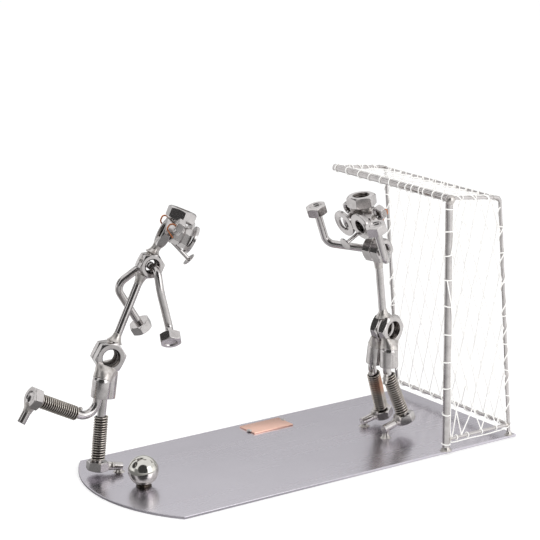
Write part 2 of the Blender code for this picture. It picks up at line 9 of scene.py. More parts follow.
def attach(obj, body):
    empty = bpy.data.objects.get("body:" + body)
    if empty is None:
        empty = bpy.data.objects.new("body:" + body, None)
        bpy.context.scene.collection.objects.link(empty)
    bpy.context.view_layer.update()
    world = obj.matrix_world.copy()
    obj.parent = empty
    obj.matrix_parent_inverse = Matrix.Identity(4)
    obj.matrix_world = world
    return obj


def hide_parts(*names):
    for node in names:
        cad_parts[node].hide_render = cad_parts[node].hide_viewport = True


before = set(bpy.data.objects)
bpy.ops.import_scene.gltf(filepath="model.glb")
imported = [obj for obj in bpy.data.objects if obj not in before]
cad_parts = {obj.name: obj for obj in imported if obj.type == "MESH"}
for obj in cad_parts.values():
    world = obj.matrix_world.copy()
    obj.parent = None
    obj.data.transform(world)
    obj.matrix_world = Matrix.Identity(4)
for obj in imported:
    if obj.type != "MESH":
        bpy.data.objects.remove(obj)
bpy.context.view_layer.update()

MM = 0.001
UP, ACROSS, ALONG = Vector((0, 0, 1)), Vector((0, 1, 0)), Vector((1, 0, 0))

# All the sizes and places below are in millimetres. The plate is a rectangle with one round end
PLATE_TOP = 1.5
PLATE_HALF_LENGTH, PLATE_HALF_WIDTH, PLATE_END_RADIUS = 125, 55, 88
PLAQUE_SIZE, PLAQUE_MIDDLE = (28, 15.5, 0.8), (14.6, 42.8)
BALL_RADIUS = 8.5
BALL = Vector((-98, -1.5, PLATE_TOP + 0.3 + BALL_RADIUS))

# Nut sizes: across flats, thickness, bore, and thread pitch
NUT_SIZES = {
    "ear": (8, 4, 4.2, 0.7),
    "eye": (10, 5.05, 5.4, 0.8),
    "kicker_shoulder": (13, 4.4, 7.4, 1.1),
    "keeper_shoulder": (13, 6.1, 7.4, 1.1),
    "large": (16, 5, 9.2, 1.25),
    "crown": (15, 6.6, 8.4, 1.25),
}
COUNTERSINK = 0.8
FIST_FLATS, FIST_THICK = 11.2, 5.4
WASHER_HOLE, WASHER_OUTER, WASHER_THICK = 4.2, 8, 1.6

# Radii of the rods and ear wires, of the thigh sleeves, and of the goal's post, bar and thin rods
ARM, LEG, TOE, SPINE, NECK, EAR_WIRE = 2.2, 2.45, 2.3, 2.2, 2.4, 0.45
THIGH_OUTER, THIGH_BORE = 5.3, 4.4
POST, BAR, THIN = 2.1, 2, 1.05
SPRING_OUTER, SPRING_WIRE, SPRING_LENGTH, SPRING_TURNS = 4.05, 0.43, 26, 18
# The radius of the near-black sleeve inside each spring, which is painted shade in the gaps between its coils,
# and the net string's radius
SHADE_SLEEVE, STRING = 3.3, 0.36

# The goal's near and far sides, its post's place along the plate, and its top bar's height
NEAR, FAR, POST_X, BAR_TOP = -53.6, 52, 73.2, 149.6
# The back bars' places along the plate, their heights, and the ways that the top rods and the back posts run
BACK_TOP_X, BACK_TOP, BACK_LOW_X, LOW_BAR = 109.43, 144.67, 120.15, 8
TOP_ROD_WAY, BACK_POST_WAY = (1, 0, -0.12), (-0.07, 0, 1)

# The ways that each figure looks, that a flat of its small nuts faces, and across its hips
KICKER_GAZE, KICKER_FLAT = (0.7784, -0.3796, -0.5), (0.406, 0.9119, -0.0604)
KEEPER_GAZE, KEEPER_FLAT = (-0.9272, 0, -0.3746), (0.0326, 0.9962, -0.0808)
KICKER_ACROSS, KEEPER_ACROSS = (0.2079, 0.9781, 0), (-0.1736, 0.9848, 0)

# Each nut: its CAD node, its size, its centre, the way its bore runs, and the way one flat looks
NUTS = (
    ("kicker_head_nut", "crown", (-57.45, 19.24, 144.69),
     (0.3978, -0.0846, 0.9135), (0.8501, -0.3406, -0.4017)),
    ("kicker_ear_nut_right", "ear", (-66.66, 6.78, 141.42), KICKER_GAZE, KICKER_FLAT),
    ("kicker_ear_nut_left", "ear", (-54.57, 33.95, 139.62), KICKER_GAZE, KICKER_FLAT),
    ("kicker_neck", "large", (-66.2, 22.5, 135.2), KICKER_GAZE, (0.4789, -0.156, 0.8639)),
    ("kicker_shoulder_nut_right", "kicker_shoulder", (-75.79, 21.7, 118), KICKER_ACROSS, UP),
    ("kicker_shoulder_nut_left", "kicker_shoulder", (-74.81, 26.3, 118), KICKER_ACROSS, UP),
    ("kicker_hip_nut_right", "large", (-103.95, 21.41, 70.7), KICKER_ACROSS, UP),
    ("kicker_hip_nut_left", "large", (-102.85, 26.59, 70.7), KICKER_ACROSS, UP),
    ("keeper_head_nut", "crown", (51.44, -1.51, 142.07), (-0.1392, 0, 0.9903), (-0.9897, -0.0349, -0.1391)),
    ("keeper_ear_nut_left", "ear", (52.86, -16.88, 137.49), KEEPER_GAZE, KEEPER_FLAT),
    ("keeper_ear_nut_right", "ear", (53.83, 12.81, 135.08), KEEPER_GAZE, KEEPER_FLAT),
    ("keeper_neck", "large", (58.5, -2.7, 130.2), KEEPER_GAZE, (-0.3732, 0.0872, 0.9237)),
    ("keeper_shoulder_nut_left", "keeper_shoulder", (62.46, -6.15, 111.9), KEEPER_ACROSS, UP),
    ("keeper_shoulder_nut_right", "keeper_shoulder", (61.34, 0.15, 111.9), KEEPER_ACROSS, UP),
    ("keeper_hip_nut_left", "large", (69.57, -6.25, 63.4), KEEPER_ACROSS, UP),
    ("keeper_hip_nut_right", "large", (68.43, 0.25, 63.4), KEEPER_ACROSS, UP),
)

# Each eye: its node, the middle of its two nuts, the middle of its washer, the gaze, and a flat's way
EYES = (
    ("kicker_eye_right", (-60.97, 13.96, 134.23), (-57.26, 9.35, 132.5), KICKER_GAZE, KICKER_FLAT),
    ("kicker_eye_left", (-56.42, 24.18, 133.55), (-50.6, 24.3, 131.51), KICKER_GAZE, KICKER_FLAT),
    ("keeper_eye_left", (49.97, -8.02, 130.5), (44.41, -10.52, 129.57), KEEPER_GAZE, KEEPER_FLAT),
    ("keeper_eye_right", (50.33, 3.14, 129.6), (44.94, 5.82, 128.25), KEEPER_GAZE, KEEPER_FLAT),
)

# Each nose nail: its node, its root, its way, and its length
NAILS = (
    ("kicker_nose_nail", (-64.69, 21.66, 132.59), (0.5801, -0.3082, -0.754), 17.66),
    ("keeper_nose_nail", (56.43, -2.82, 127.86), (-0.8831, -0.0091, -0.4691), 20.41),
)

# Each bent rod with a bolt head on its end: node, rod radius, corners, bend radii, and a flat's way
LIMBS = (
    ("kicker_arm_right", ARM,
     ((-74.77, 23.12, 117.28), (-76.6, 14.51, 117.28), (-75.9, 12.7, 105),
      (-71, 12.5, 84.5), (-73.1, 7.7, 79.1)),
     (4.2, 30, 4), (0.8, -0.5, 0.1)),
    ("kicker_arm_left", ARM,
     ((-74.39, 24.88, 117.28), (-72.77, 32.51, 117.28), (-90.9, 35.8, 106), (-75, 36, 80.5)),
     (3.6, 6), ACROSS),
    ("kicker_leg_right", LEG,
     ((-113.09, 18.52, 56.29), (-116.1, 18.52, 37.46), (-153.4, 18.4, 57.1)), (8,), (-0.5671, 0, -0.8236)),
    ("kicker_leg_left", LEG,
     ((-102.89, 29.48, 53.45), (-105.93, 29.48, 34.05), (-109.4, 29, 6.8)), (9,), (0.9585, -0.2414, -0.1517)),
    ("keeper_arm_left", ARM,
     ((61.34, -3.89, 111.18), (62.55, -10.78, 111.18), (47.2, -30, 112.5), (40.2, -30, 132.5)),
     (3, 6), ACROSS),
    ("keeper_arm_right", ARM,
     ((61.02, -2.11, 111.18), (59.81, 4.78, 111.18), (45.2, 24, 112.9), (38.2, 24, 133.7)), (3, 6), ACROSS),
    ("keeper_leg_left", LEG,
     ((64.67, -8.86, 48.51), (64.41, -9.29, 39.85), (73.6, -14.5, 10.6)), (7,), (-0.9741, -0.059, -0.2184)),
    ("keeper_leg_right", LEG,
     ((64.47, 3.31, 48.17), (63.99, 4.35, 38.71), (74.8, 8.5, 8.2)), (7,), (-0.9715, 0.0326, -0.2347)),
)
TOES = {
    "kicker_leg_right": (-161.8, 18.4, 44.9),
    "kicker_leg_left": (-95.5, 25.5, 4.6),
    "keeper_leg_left": (57.1, -15.5, 6.9),
    "keeper_leg_right": (59.9, 9, 4.6),
}
# Where a planted foot's weld stands on the plate, and its height
FOOT_WELDS = {
    "kicker_leg_left": (-97.45, 25.99, 4.91),
    "keeper_leg_left": (59.08, -15.38, 7.34),
    "keeper_leg_right": (61.87, 8.93, 5.08),
}

# Each thigh sleeve: its node, its lower end, its way up, and its length
THIGHS = (
    ("kicker_thigh_right", (-112.5, 18.52, 49.97), (0.158, 0, 0.9874), 12.8),
    ("kicker_thigh_left", (-102.57, 29.48, 45.3), (0.1551, 0, 0.9879), 16.5),
    ("keeper_thigh_left", (66.07, -9.19, 41.92), (0.0299, 0.0499, 0.9983), 13.2),
    ("keeper_thigh_right", (65.72, 4.06, 41.32), (0.0496, -0.1092, 0.9928), 13.8),
)

# Each shin spring: its node, its lower end, and its way
SPRINGS = (
    ("kicker_spring_right", (-150.75, 18.41, 55.7), (0.8848, 0.0029, -0.4659)),
    ("kicker_spring_left", (-109.02, 29.05, 9.78), (0.1262, 0.0174, 0.9919)),
    ("keeper_spring_left", (72.71, -14, 13.42), (-0.2956, 0.1674, 0.9405)),
    ("keeper_spring_right", (73.81, 8.12, 11), (-0.3312, -0.1272, 0.935)),
)

# Where an orange reflection is painted on one spring
PAINTED_REFLECTION_SPOT = (69.2, 2.4, 28)

# Straight and bent rods with plain ends: node, radius, corners, and bend radii
RODS = (
    ("kicker_spine", SPINE, ((-98.66, 24, 78.97), (-81.35, 24, 112.35)), ()),
    ("keeper_spine", SPINE, ((66.15, -3, 71.86), (62.8, -3, 104.88)), ()),
    ("near_post", POST, ((POST_X, NEAR, 1.8), (POST_X, NEAR, 147.3)), ()),
    ("crossbar", BAR, ((POST_X, -55.7, BAR_TOP), (POST_X, 53.05, BAR_TOP)), ()),
    ("near_top_rod", THIN, ((75.5, NEAR, BAR_TOP), (104.94, NEAR, 146.04)), ()),
    ("far_top_rod", THIN, ((75.5, FAR, BAR_TOP), (104.94, FAR, 146.04)), ()),
    ("near_back_post", THIN, ((105.24, NEAR, 146), (110.2, NEAR, 145.4), (120.6, NEAR, 1.8)), (3.6,)),
    ("far_back_post", THIN, ((105.24, FAR, 146), (110.2, FAR, 145.4), (120.6, FAR, 1.8)), (3.6,)),
    ("back_top_bar", THIN, ((BACK_TOP_X, -52.25, BACK_TOP), (BACK_TOP_X, 50.65, BACK_TOP)), ()),
    ("back_bottom_bar", THIN, ((BACK_LOW_X, -52.25, LOW_BAR), (BACK_LOW_X, 50.65, LOW_BAR)), ()),
    ("near_bottom_bar", THIN, ((75.6, NEAR, LOW_BAR), (118.8, NEAR, LOW_BAR)), ()),
)
NECK_RODS = {
    "kicker_neck": ((-68.96, 23.68, 129.34), (-72.49, 23.91, 125.88)),
    "keeper_neck": ((61.18, -3.53, 124.27), (62.23, -3.07, 119.21)),
}
EAR_WIRES = (
    ("kicker_wire_right",
     ((-66.97, 6.93, 141.62), (-70.79, 8.79, 144.07), (-71.98, 11.03, 140.5), (-68.39, 11.01, 134.92))),
    ("kicker_wire_left",
     ((-54.88, 34.1, 139.82), (-58.69, 35.96, 142.27), (-61.33, 34.97, 138.92), (-59.17, 31.71, 133.55))),
    ("keeper_wire_left",
     ((53.23, -16.88, 137.64), (57.77, -16.88, 139.47), (59.32, -15.46, 135.63), (55.35, -13.96, 130.53))),
    ("keeper_wire_right",
     ((54.2, 12.81, 135.23), (58.75, 12.81, 137.06), (60.18, 10.69, 133.51), (56.09, 8.65, 128.7))),
)


# Materials
def linear(hex_colour):
    """An sRGB hex colour as the linear colour that a shader takes."""
    channels = [int(hex_colour[at:at + 2], 16) / 255 for at in (1, 3, 5)]
    return tuple(c / 12.92 if c <= 0.04045 else ((c + 0.055) / 1.055) ** 2.4 for c in channels) + (1,)


# A colour mix node's sockets: its share, its two colours, and its result
SHARE, FIRST, SECOND, MIXED = 0, 6, 7, 2


def node(tree, kind, settings=None, inputs=None):
    """One shader node with its settings. An input takes a value or another node's output."""
    made = tree.nodes.new(kind)
    for name, value in (settings or {}).items():
        setattr(made, name, value)
    for name, value in (inputs or {}).items():
        if isinstance(value, bpy.types.NodeSocket):
            tree.links.new(value, made.inputs[name])
        else:
            made.inputs[name].default_value = value
    return made


def blank_finish(name, metallic, roughness):
    """A new material and its shader."""
    material = bpy.data.materials.new(name)
    material.use_nodes = True
    shader = material.node_tree.nodes["Principled BSDF"]
    shader.inputs["Metallic"].default_value = metallic
    shader.inputs["Roughness"].default_value = roughness
    return material, material.node_tree, shader


def worn_metal(name, bright, dull, rough_low, rough_high, grain, bump, patch):
    """Plain metal: cloudy colour, patches of duller polish, and a fine dented grain, both in millimetres."""
    material, tree, shader = blank_finish(name, 1, rough_low)
    place = node(tree, "ShaderNodeTexCoord").outputs["Object"]
    cloud = node(tree, "ShaderNodeTexNoise", {}, {
        "Vector": place, "Scale": 1 / (patch * MM), "Detail": 4, "Roughness": 0.6})
    fine = node(tree, "ShaderNodeTexNoise", {}, {
        "Vector": place, "Scale": 1 / (grain * MM), "Detail": 3, "Roughness": 0.55})
    share = node(tree, "ShaderNodeMapRange", {}, {
        "Value": cloud.outputs["Fac"], "From Min": 0.35, "From Max": 0.7})
    colour = node(tree, "ShaderNodeMix", {"data_type": "RGBA"}, {
        SHARE: share.outputs["Result"], FIRST: linear(bright), SECOND: linear(dull)})
    tree.links.new(colour.outputs[MIXED], shader.inputs["Base Color"])
    polish = node(tree, "ShaderNodeMapRange", {}, {
        "Value": cloud.outputs["Fac"], "From Min": 0.3, "From Max": 0.75,
        "To Min": rough_low, "To Max": rough_high})
    tree.links.new(polish.outputs["Result"], shader.inputs["Roughness"])
    dents = node(tree, "ShaderNodeBump", {}, {
        "Height": fine.outputs["Fac"], "Strength": bump, "Distance": 0.03 * MM})
    tree.links.new(dents.outputs["Normal"], shader.inputs["Normal"])
    return material


# Bright plated nuts: clean, a little uneven from the plating barrel
nut_steel = worn_metal("barrel_plated_steel", "#CECAC9", "#BAB6B5", 0.15, 0.2, 0.6, 0.004, 5)
# Drawn rod: straight from the die, so a touch smoother and brighter than the nuts
rod_steel = worn_metal("drawn_steel_rod", "#D0CCCB", "#BBB7B6", 0.14, 0.2, 0.6, 0.004, 6)
# Spring wire: hard drawn and oiled, so warmer than the rods, with short streaks of duller skin
SPRING_SKIN = ("#D3CDC6", "#B5ADA4", 0.14, 0.24, 0.4, 0.04, 3)
spring_steel = worn_metal("spring_wire", *SPRING_SKIN)
# Painted shade inside a nut's bore: the same steel, but dim
bore_shade_paint = worn_metal("thread_painted_shade", "#7D7773", "#55504D", 0.2, 0.3, 0.5, 0.05, 2)
# Weld metal: bright beads with browner hollows, and a rippled skin that is duller than the nuts' plating
weld_metal = worn_metal("weld_bead", "#D4D0CD", "#BAB4AF", 0.3, 0.42, 0.7, 0.06, 1.8)
# Weld under the ball, blue-black to brown: partly the weld's own heat colour, partly painted shadow where the
# ball meets the plate
weld_with_painted_shadow = worn_metal("weld_with_painted_shadow", "#5A524B", "#241F1D", 0.22, 0.5, 0.5, 0.4, 1.2)
# Painted shade between a spring's coils: a near-black, slightly shining sleeve inside each spring that darkens
# the gaps where shade falls
coil_shade_paint = worn_metal("painted_coil_shade", "#1D1917", "#0F0D0C", 0.4, 0.6, 0.5, 0.1, 2)
# Soft copper wire: bright where it was pulled straight, browner in patches
ear_copper = worn_metal("copper_wire", "#E39A6E", "#A55C38", 0.18, 0.34, 0.4, 0.1, 2)
# Ground and polished bearing steel: the brightest finish here
ball_steel = worn_metal("polished_bearing_steel", "#DAD8D2", "#CDCAC3", 0.08, 0.13, 0.8, 0.01, 6)


def rolled_sheet():
    """Satin rolled sheet: faint lines along it, a violet cast and cloudy handling marks.

    Real rolling lines are some 0.1 mm apart, too fine to show, so they are drawn 2.5 mm apart."""
    material, tree, shader = blank_finish("satin_rolled_sheet", 1, 0.3)
    place = node(tree, "ShaderNodeTexCoord").outputs["Object"]
    stretched = node(tree, "ShaderNodeMapping", {}, {"Vector": place, "Scale": (0.02, 1, 1)})
    lines = node(tree, "ShaderNodeTexNoise", {}, {
        "Vector": stretched.outputs["Vector"], "Scale": 1 / (2.5 * MM), "Detail": 1, "Roughness": 0.5})
    cloud = node(tree, "ShaderNodeTexNoise", {}, {
        "Vector": place, "Scale": 1 / (45 * MM), "Detail": 3, "Roughness": 0.5})
    tone = node(tree, "ShaderNodeMix", {"data_type": "RGBA"}, {
        SHARE: cloud.outputs["Fac"], FIRST: linear("#DBD7DF"), SECOND: linear("#CFCBD3")})
    tree.links.new(tone.outputs[MIXED], shader.inputs["Base Color"])
    polish = node(tree, "ShaderNodeMapRange", {}, {
        "Value": lines.outputs["Fac"], "From Min": 0.3, "From Max": 0.7, "To Min": 0.255, "To Max": 0.275})
    tree.links.new(polish.outputs["Result"], shader.inputs["Roughness"])
    ridges = node(tree, "ShaderNodeBump", {}, {
        "Height": lines.outputs["Fac"], "Strength": 0.02, "Distance": 0.02 * MM})
    tree.links.new(ridges.outputs["Normal"], shader.inputs["Normal"])
    return material


def copper_sheet():
    """Brushed copper: pink where bare, browner in the brush lines, which are drawn coarser than real ones."""
    material, tree, shader = blank_finish("brushed_copper", 1, 0.36)
    place = node(tree, "ShaderNodeTexCoord").outputs["Object"]
    stretched = node(tree, "ShaderNodeMapping", {}, {"Vector": place, "Scale": (0.06, 1, 1)})
    lines = node(tree, "ShaderNodeTexNoise", {}, {
        "Vector": stretched.outputs["Vector"], "Scale": 1 / (0.35 * MM), "Detail": 4, "Roughness": 0.65})
    tone = node(tree, "ShaderNodeMix", {"data_type": "RGBA"}, {
        SHARE: lines.outputs["Fac"], FIRST: linear("#FBD6C6"), SECOND: linear("#EFBEAA")})
    tree.links.new(tone.outputs[MIXED], shader.inputs["Base Color"])
    ridges = node(tree, "ShaderNodeBump", {}, {
        "Height": lines.outputs["Fac"], "Strength": 0.25, "Distance": 0.02 * MM})
    tree.links.new(ridges.outputs["Normal"], shader.inputs["Normal"])
    return material


def twisted_string():
    """White cotton string: soft, matt, with its strands' twist as a slanting ridge."""
    material, tree, shader = blank_finish("cotton_string", 0, 0.85)
    place = node(tree, "ShaderNodeTexCoord").outputs["Object"]
    fuzz = node(tree, "ShaderNodeTexNoise", {}, {
        "Vector": place, "Scale": 1 / (0.25 * MM), "Detail": 3, "Roughness": 0.6})
    strands = node(tree, "ShaderNodeTexWave", {"wave_type": "BANDS", "bands_direction": "DIAGONAL"}, {
        "Vector": place, "Scale": 1 / (1.6 * MM), "Distortion": 1.5, "Detail": 1})
    tone = node(tree, "ShaderNodeMix", {"data_type": "RGBA"}, {
        SHARE: fuzz.outputs["Fac"], FIRST: linear("#FDFCFA"), SECOND: linear("#F4F2EE")})
    tree.links.new(tone.outputs[MIXED], shader.inputs["Base Color"])
    twist = node(tree, "ShaderNodeBump", {}, {
        "Height": strands.outputs["Fac"], "Strength": 0.3, "Distance": 0.06 * MM})
    tree.links.new(twist.outputs["Normal"], shader.inputs["Normal"])
    shader.inputs["Sheen Weight"].default_value = 0.3
    # Painted light: the string gives out a little light of its own, so that it shows near white
    shader.inputs["Emission Strength"].default_value = 0.16
    return material


def spring_wire_with_painted_reflection():
    """Spring wire with a painted copper-coloured reflection in one patch on its open side."""
    material = worn_metal("spring_wire_painted_reflection", *SPRING_SKIN)
    tree = material.node_tree
    shader = tree.nodes["Principled BSDF"]
    plain = shader.inputs["Base Color"].links[0].from_socket
    place = node(tree, "ShaderNodeTexCoord").outputs["Object"]
    away = node(tree, "ShaderNodeVectorMath", {"operation": "DISTANCE"}, {
        0: place, 1: [at * MM for at in PAINTED_REFLECTION_SPOT]})
    # Painted reflection: a soft round patch near the spot is mixed towards orange
    reflection_share = node(tree, "ShaderNodeMapRange", {"interpolation_type": "SMOOTHSTEP"}, {
        "Value": away.outputs["Value"], "From Min": 2.5 * MM, "From Max": 8.5 * MM,
        "To Min": 0.55, "To Max": 0})
    reflection_mixed = node(tree, "ShaderNodeMix", {"data_type": "RGBA"}, {
        SHARE: reflection_share.outputs["Result"], FIRST: plain, SECOND: linear("#D08A5A")})
    tree.links.new(reflection_mixed.outputs[MIXED], shader.inputs["Base Color"])
    return material


spring_paint_with_reflection = spring_wire_with_painted_reflection()
plate_sheet = rolled_sheet()
plaque_copper = copper_sheet()
net_string = twisted_string()


# Ways of making a piece
def facing(place, axis, flat):
    """A frame whose Z runs along the axis and whose X looks the way a flat does."""
    z = Vector(axis).normalized()
    x = Vector(flat)
    x = (x - z * x.dot(z)).normalized()
    turn = Matrix((x, z.cross(x), z)).transposed().to_4x4()
    return Matrix.Translation(Vector(place) * MM) @ turn


def any_side(axis):
    """Some way square to the axis."""
    return ACROSS if abs(Vector(axis).normalized().y) < 0.8 else ALONG


def clear_selection():
    """Nothing selected, so that the next operator acts on its own piece alone."""
    bpy.ops.object.select_all(action="DESELECT")


def pick(piece):
    """Nothing selected but this piece, and it is active."""
    clear_selection()
    piece.select_set(True)
    bpy.context.view_layer.objects.active = piece


def tidy_mesh(piece, angle=30):
    """Doubles merged, faces turned out, and shading smooth but for real edges."""
    pick(piece)
    bpy.ops.object.mode_set(mode="EDIT")
    bpy.ops.mesh.select_all(action="SELECT")
    bpy.ops.mesh.remove_doubles(threshold=0.000002)
    bpy.ops.mesh.normals_make_consistent(inside=False)
    bpy.ops.object.mode_set(mode="OBJECT")
    bpy.ops.object.shade_smooth_by_angle(angle=math.radians(angle))
    return piece


def round_edges(piece, width, angle=32, segments=2):
    """The piece's real edges rounded."""
    pick(piece)
    bpy.ops.object.modifier_add(type="BEVEL")
    edge = piece.modifiers[-1]
    edge.width = width * MM
    edge.segments = segments
    edge.limit_method = "ANGLE"
    edge.angle_limit = math.radians(angle)
    bpy.ops.object.modifier_apply(modifier=edge.name)
    bpy.ops.object.shade_smooth_by_angle(angle=math.radians(angle))
    return piece


def keep(piece, name, look, stands_for_node=True):
    """The finished piece is named, painted and seated on the body, and stands for the CAD node of its name."""
    piece.name = piece.data.name = name + ".dressed" if stands_for_node else name
    if not piece.data.materials:
        piece.data.materials.append(look)
    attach(piece, "root")
    if stands_for_node:
        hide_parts(name)


def placed_copy(master, frame_matrix):
    """A copy of a piece, with its own mesh, set in its place."""
    copy = bpy.data.objects.new(master.name, master.data.copy())
    bpy.context.scene.collection.objects.link(copy)
    copy.data.transform(frame_matrix)
    return copy


def joined(pieces):
    """Several pieces as one."""
    clear_selection()
    for piece in pieces:
        piece.select_set(True)
    bpy.context.view_layer.objects.active = pieces[0]
    if len(pieces) > 1:
        bpy.ops.object.join()
    return pieces[0]


def lathed(profile, steps=48):
    """A closed outline of radius and height in millimetres, spun about Z."""
    clear_selection()
    bpy.ops.mesh.primitive_circle_add(vertices=len(profile), radius=MM, fill_type="NOTHING")
    piece = bpy.context.object
    for vertex, (radius, height) in zip(piece.data.vertices, profile):
        vertex.co = (radius * MM, 0, height * MM)
    bpy.ops.object.mode_set(mode="EDIT")
    bpy.ops.mesh.select_all(action="SELECT")
    bpy.ops.mesh.spin(steps=steps, angle=2 * math.pi, center=(0, 0, 0), axis=(0, 0, 1))
    bpy.ops.object.mode_set(mode="OBJECT")
    return tidy_mesh(piece)


def bent(corners, radii, steps=9):
    """A rod's middle line, in metres, from its corners in millimetres, each inner one bent to its radius."""
    points = [Vector(corner) * MM for corner in corners]
    path = [points[0]]
    for before, corner, after, radius in zip(points, points[1:], points[2:], radii):
        to_before = (before - corner).normalized()
        to_after = (after - corner).normalized()
        half = to_before.angle(to_after) / 2
        centre = corner + (to_before + to_after).normalized() * radius * MM / math.sin(half)
        start = corner + to_before * radius * MM / math.tan(half) - centre
        end = corner + to_after * radius * MM / math.tan(half) - centre
        turn = start.angle(end)
        for step in range(steps + 1):
            share = step / steps
            swept = start * math.sin((1 - share) * turn) + end * math.sin(share * turn)
            path.append(centre + swept / math.sin(turn))
    path.append(points[-1])
    return path


def tubes(paths, radius, sides=5):
    """Solid round rods or strings, one along each path."""
    clear_selection()
    bpy.ops.curve.primitive_nurbs_path_add(radius=MM)
    piece = bpy.context.object
    shape = piece.data
    shape.splines.clear()
    for path in paths:
        line = shape.splines.new("POLY")
        line.points.add(len(path) - 1)
        for line_point, point in zip(line.points, path):
            line_point.co = (*point, 1)
        line.use_smooth = True
    shape.dimensions = "3D"
    shape.bevel_depth = radius * MM
    shape.bevel_resolution = sides
    shape.use_fill_caps = True
    bpy.ops.object.convert(target="MESH")
    return tidy_mesh(bpy.context.object, 50)


def rounded_tube(path, radius, edge=0.25, sides=5):
    """One rod with its two end edges rounded."""
    return round_edges(tubes([path], radius, sides), edge, 60)


def rough_up(piece, depth, scale, seed):
    """The surface pushed in and out by a smooth noise, in millimetres."""
    shift = Vector((seed * 7.3, seed * 3.1, seed * 5.7))
    for vertex in piece.data.vertices:
        vertex.co += vertex.normal * noise.noise(vertex.co / (scale * MM) + shift) * depth * MM
    return piece


def weld_ring(place, axis, across, thick, seed, height=1):
    """A bead run round a joint: a lumpy ring, with its ripples where the rod was dabbed on."""
    clear_selection()
    bpy.ops.mesh.primitive_torus_add(
        major_segments=56, minor_segments=14, major_radius=across * MM, minor_radius=thick * MM)
    piece = bpy.context.object
    for vertex in piece.data.vertices:
        angle = math.atan2(vertex.co.y, vertex.co.x)
        ripple = 1 + 0.09 * math.sin(angle * 9 + seed)
        middle = Vector((math.cos(angle), math.sin(angle), 0)) * across * MM
        vertex.co = middle + (vertex.co - middle) * ripple
        vertex.co.z *= height
    rough_up(piece, thick * 0.45, thick * 1.7, seed)
    piece.data.transform(facing(place, axis, any_side(axis)))
    return piece


def weld_lump(place, sizes, axis, seed):
    """A single dab of weld, squashed along its axis."""
    clear_selection()
    bpy.ops.mesh.primitive_ico_sphere_add(subdivisions=4, radius=MM)
    piece = bpy.context.object
    rough_up(piece, 0.2, 1.1, seed)
    piece.data.transform(Matrix.Diagonal((*sizes, 1)))
    piece.data.transform(facing(place, axis, any_side(axis)))
    return piece


def weld_web(start, end, flat_way, start_half, end_half, seed, ease=1.6):
    """A weld that fills the corner from one piece to the next, changing from one oval to the other."""
    low, high = Vector(start), Vector(end)
    long = (high - low).length
    bulge = 0.35
    # A low round end, a straight side, and another round end
    outline = [(0, -bulge * 2)]
    outline += [(math.sqrt(1 - (1 - k / 4) ** 2), -bulge * 2 * (1 - k / 4)) for k in range(1, 4)]
    outline += [(1, long * k / 12) for k in range(13)]
    outline += [(math.sqrt(1 - (k / 4) ** 2), long + bulge * k / 2) for k in range(1, 4)]
    outline.append((0, long + bulge * 2))
    web = lathed(outline, 40)
    for vertex in web.data.vertices:
        share = min(1, max(0, vertex.co.z / (long * MM))) ** ease
        vertex.co.x *= start_half[0] + (end_half[0] - start_half[0]) * share
        vertex.co.y *= start_half[1] + (end_half[1] - start_half[1]) * share
    tidy_mesh(web)
    rough_up(web, 0.22, 2.2, seed)
    axis = high - low
    web.data.transform(facing(start, axis, Vector(flat_way).cross(axis)))
    return smooth_all(web)


def smooth_all(piece):
    """The whole piece shaded smooth."""
    pick(piece)
    bpy.ops.object.shade_smooth()
    return piece


# Nuts, each size modelled once
def hexagon(flats, thick, profile):
    """A hexagon bar cut by its turned blank, with its edges eased."""
    clear_selection()
    bpy.ops.mesh.primitive_cylinder_add(vertices=6, radius=flats / math.sqrt(3) * MM, depth=thick * 1.5 * MM)
    bar = bpy.context.object
    turned = lathed(profile, 72)
    pick(bar)
    bpy.ops.object.modifier_add(type="BOOLEAN")
    cut = bar.modifiers[-1]
    cut.operation = "INTERSECT"
    cut.solver = "EXACT"
    cut.object = turned
    bpy.ops.object.modifier_apply(modifier=cut.name)
    bpy.data.objects.remove(turned, do_unlink=True)
    return round_edges(tidy_mesh(bar), 0.14, 40)


def chamfered(flats):
    """A hexagon's turned blank: its radius, past the corners, and its chamfer's rim and fall at 30 degrees."""
    corner = flats / math.sqrt(3) * 1.02
    rim = flats * 0.475
    return corner, rim, (corner - rim) * math.tan(math.radians(30))


def nut_profile(flats, thick, bore, pitch):
    """A nut's blank: both corners chamfered, the mouths countersunk, and the thread in the bore."""
    corner, rim, fall = chamfered(flats)
    half = thick / 2
    inner = bore / 2
    mouth = inner + COUNTERSINK
    outline = [(rim, half), (corner, half - fall), (corner, fall - half), (rim, -half), (mouth, -half)]
    threaded = thick - 2 * COUNTERSINK
    crests = int(threaded / pitch)
    step = threaded / crests
    for turn in range(crests):
        low = COUNTERSINK - half + turn * step
        outline += [
            (inner, low + step * 0.15), (inner + pitch * 0.3, low + step * 0.5), (inner, low + step * 0.85)]
    outline.append((mouth, half))
    return outline


nut_masters = {}
for size, (flats, thick, bore, pitch) in NUT_SIZES.items():
    nut = hexagon(flats, thick, nut_profile(flats, thick, bore, pitch))
    nut.data.materials.append(nut_steel)
    nut.data.materials.append(bore_shade_paint)
    # The thread in the bore is painted dim: painted shade inside the hole
    for face in nut.data.polygons:
        if face.center.xy.length < (bore / 2 + pitch * 0.32) * MM:
            face.material_index = 1
    nut_masters[size] = nut

# A bolt's head, which is each hand and heel, with the dished end that faces out
corner, rim, fall = chamfered(FIST_FLATS)
half = FIST_THICK / 2
bolt_head = hexagon(FIST_FLATS, FIST_THICK, [
    (0, half - 1.2), (2.2, half - 1.2), (3.2, half - 0.7), (3.6, half), (rim, half),
    (corner, half - fall), (corner, fall - half), (rim, -half), (0, -half)])

for name, size, place, axis, flat in NUTS:
    nut = placed_copy(nut_masters[size], facing(place, axis, flat))
    if name in NECK_RODS:
        low, high = (Vector(point) * MM for point in NECK_RODS[name])
        nut = joined([nut, rounded_tube([low, high], NECK)])
    keep(nut, name, nut_steel)

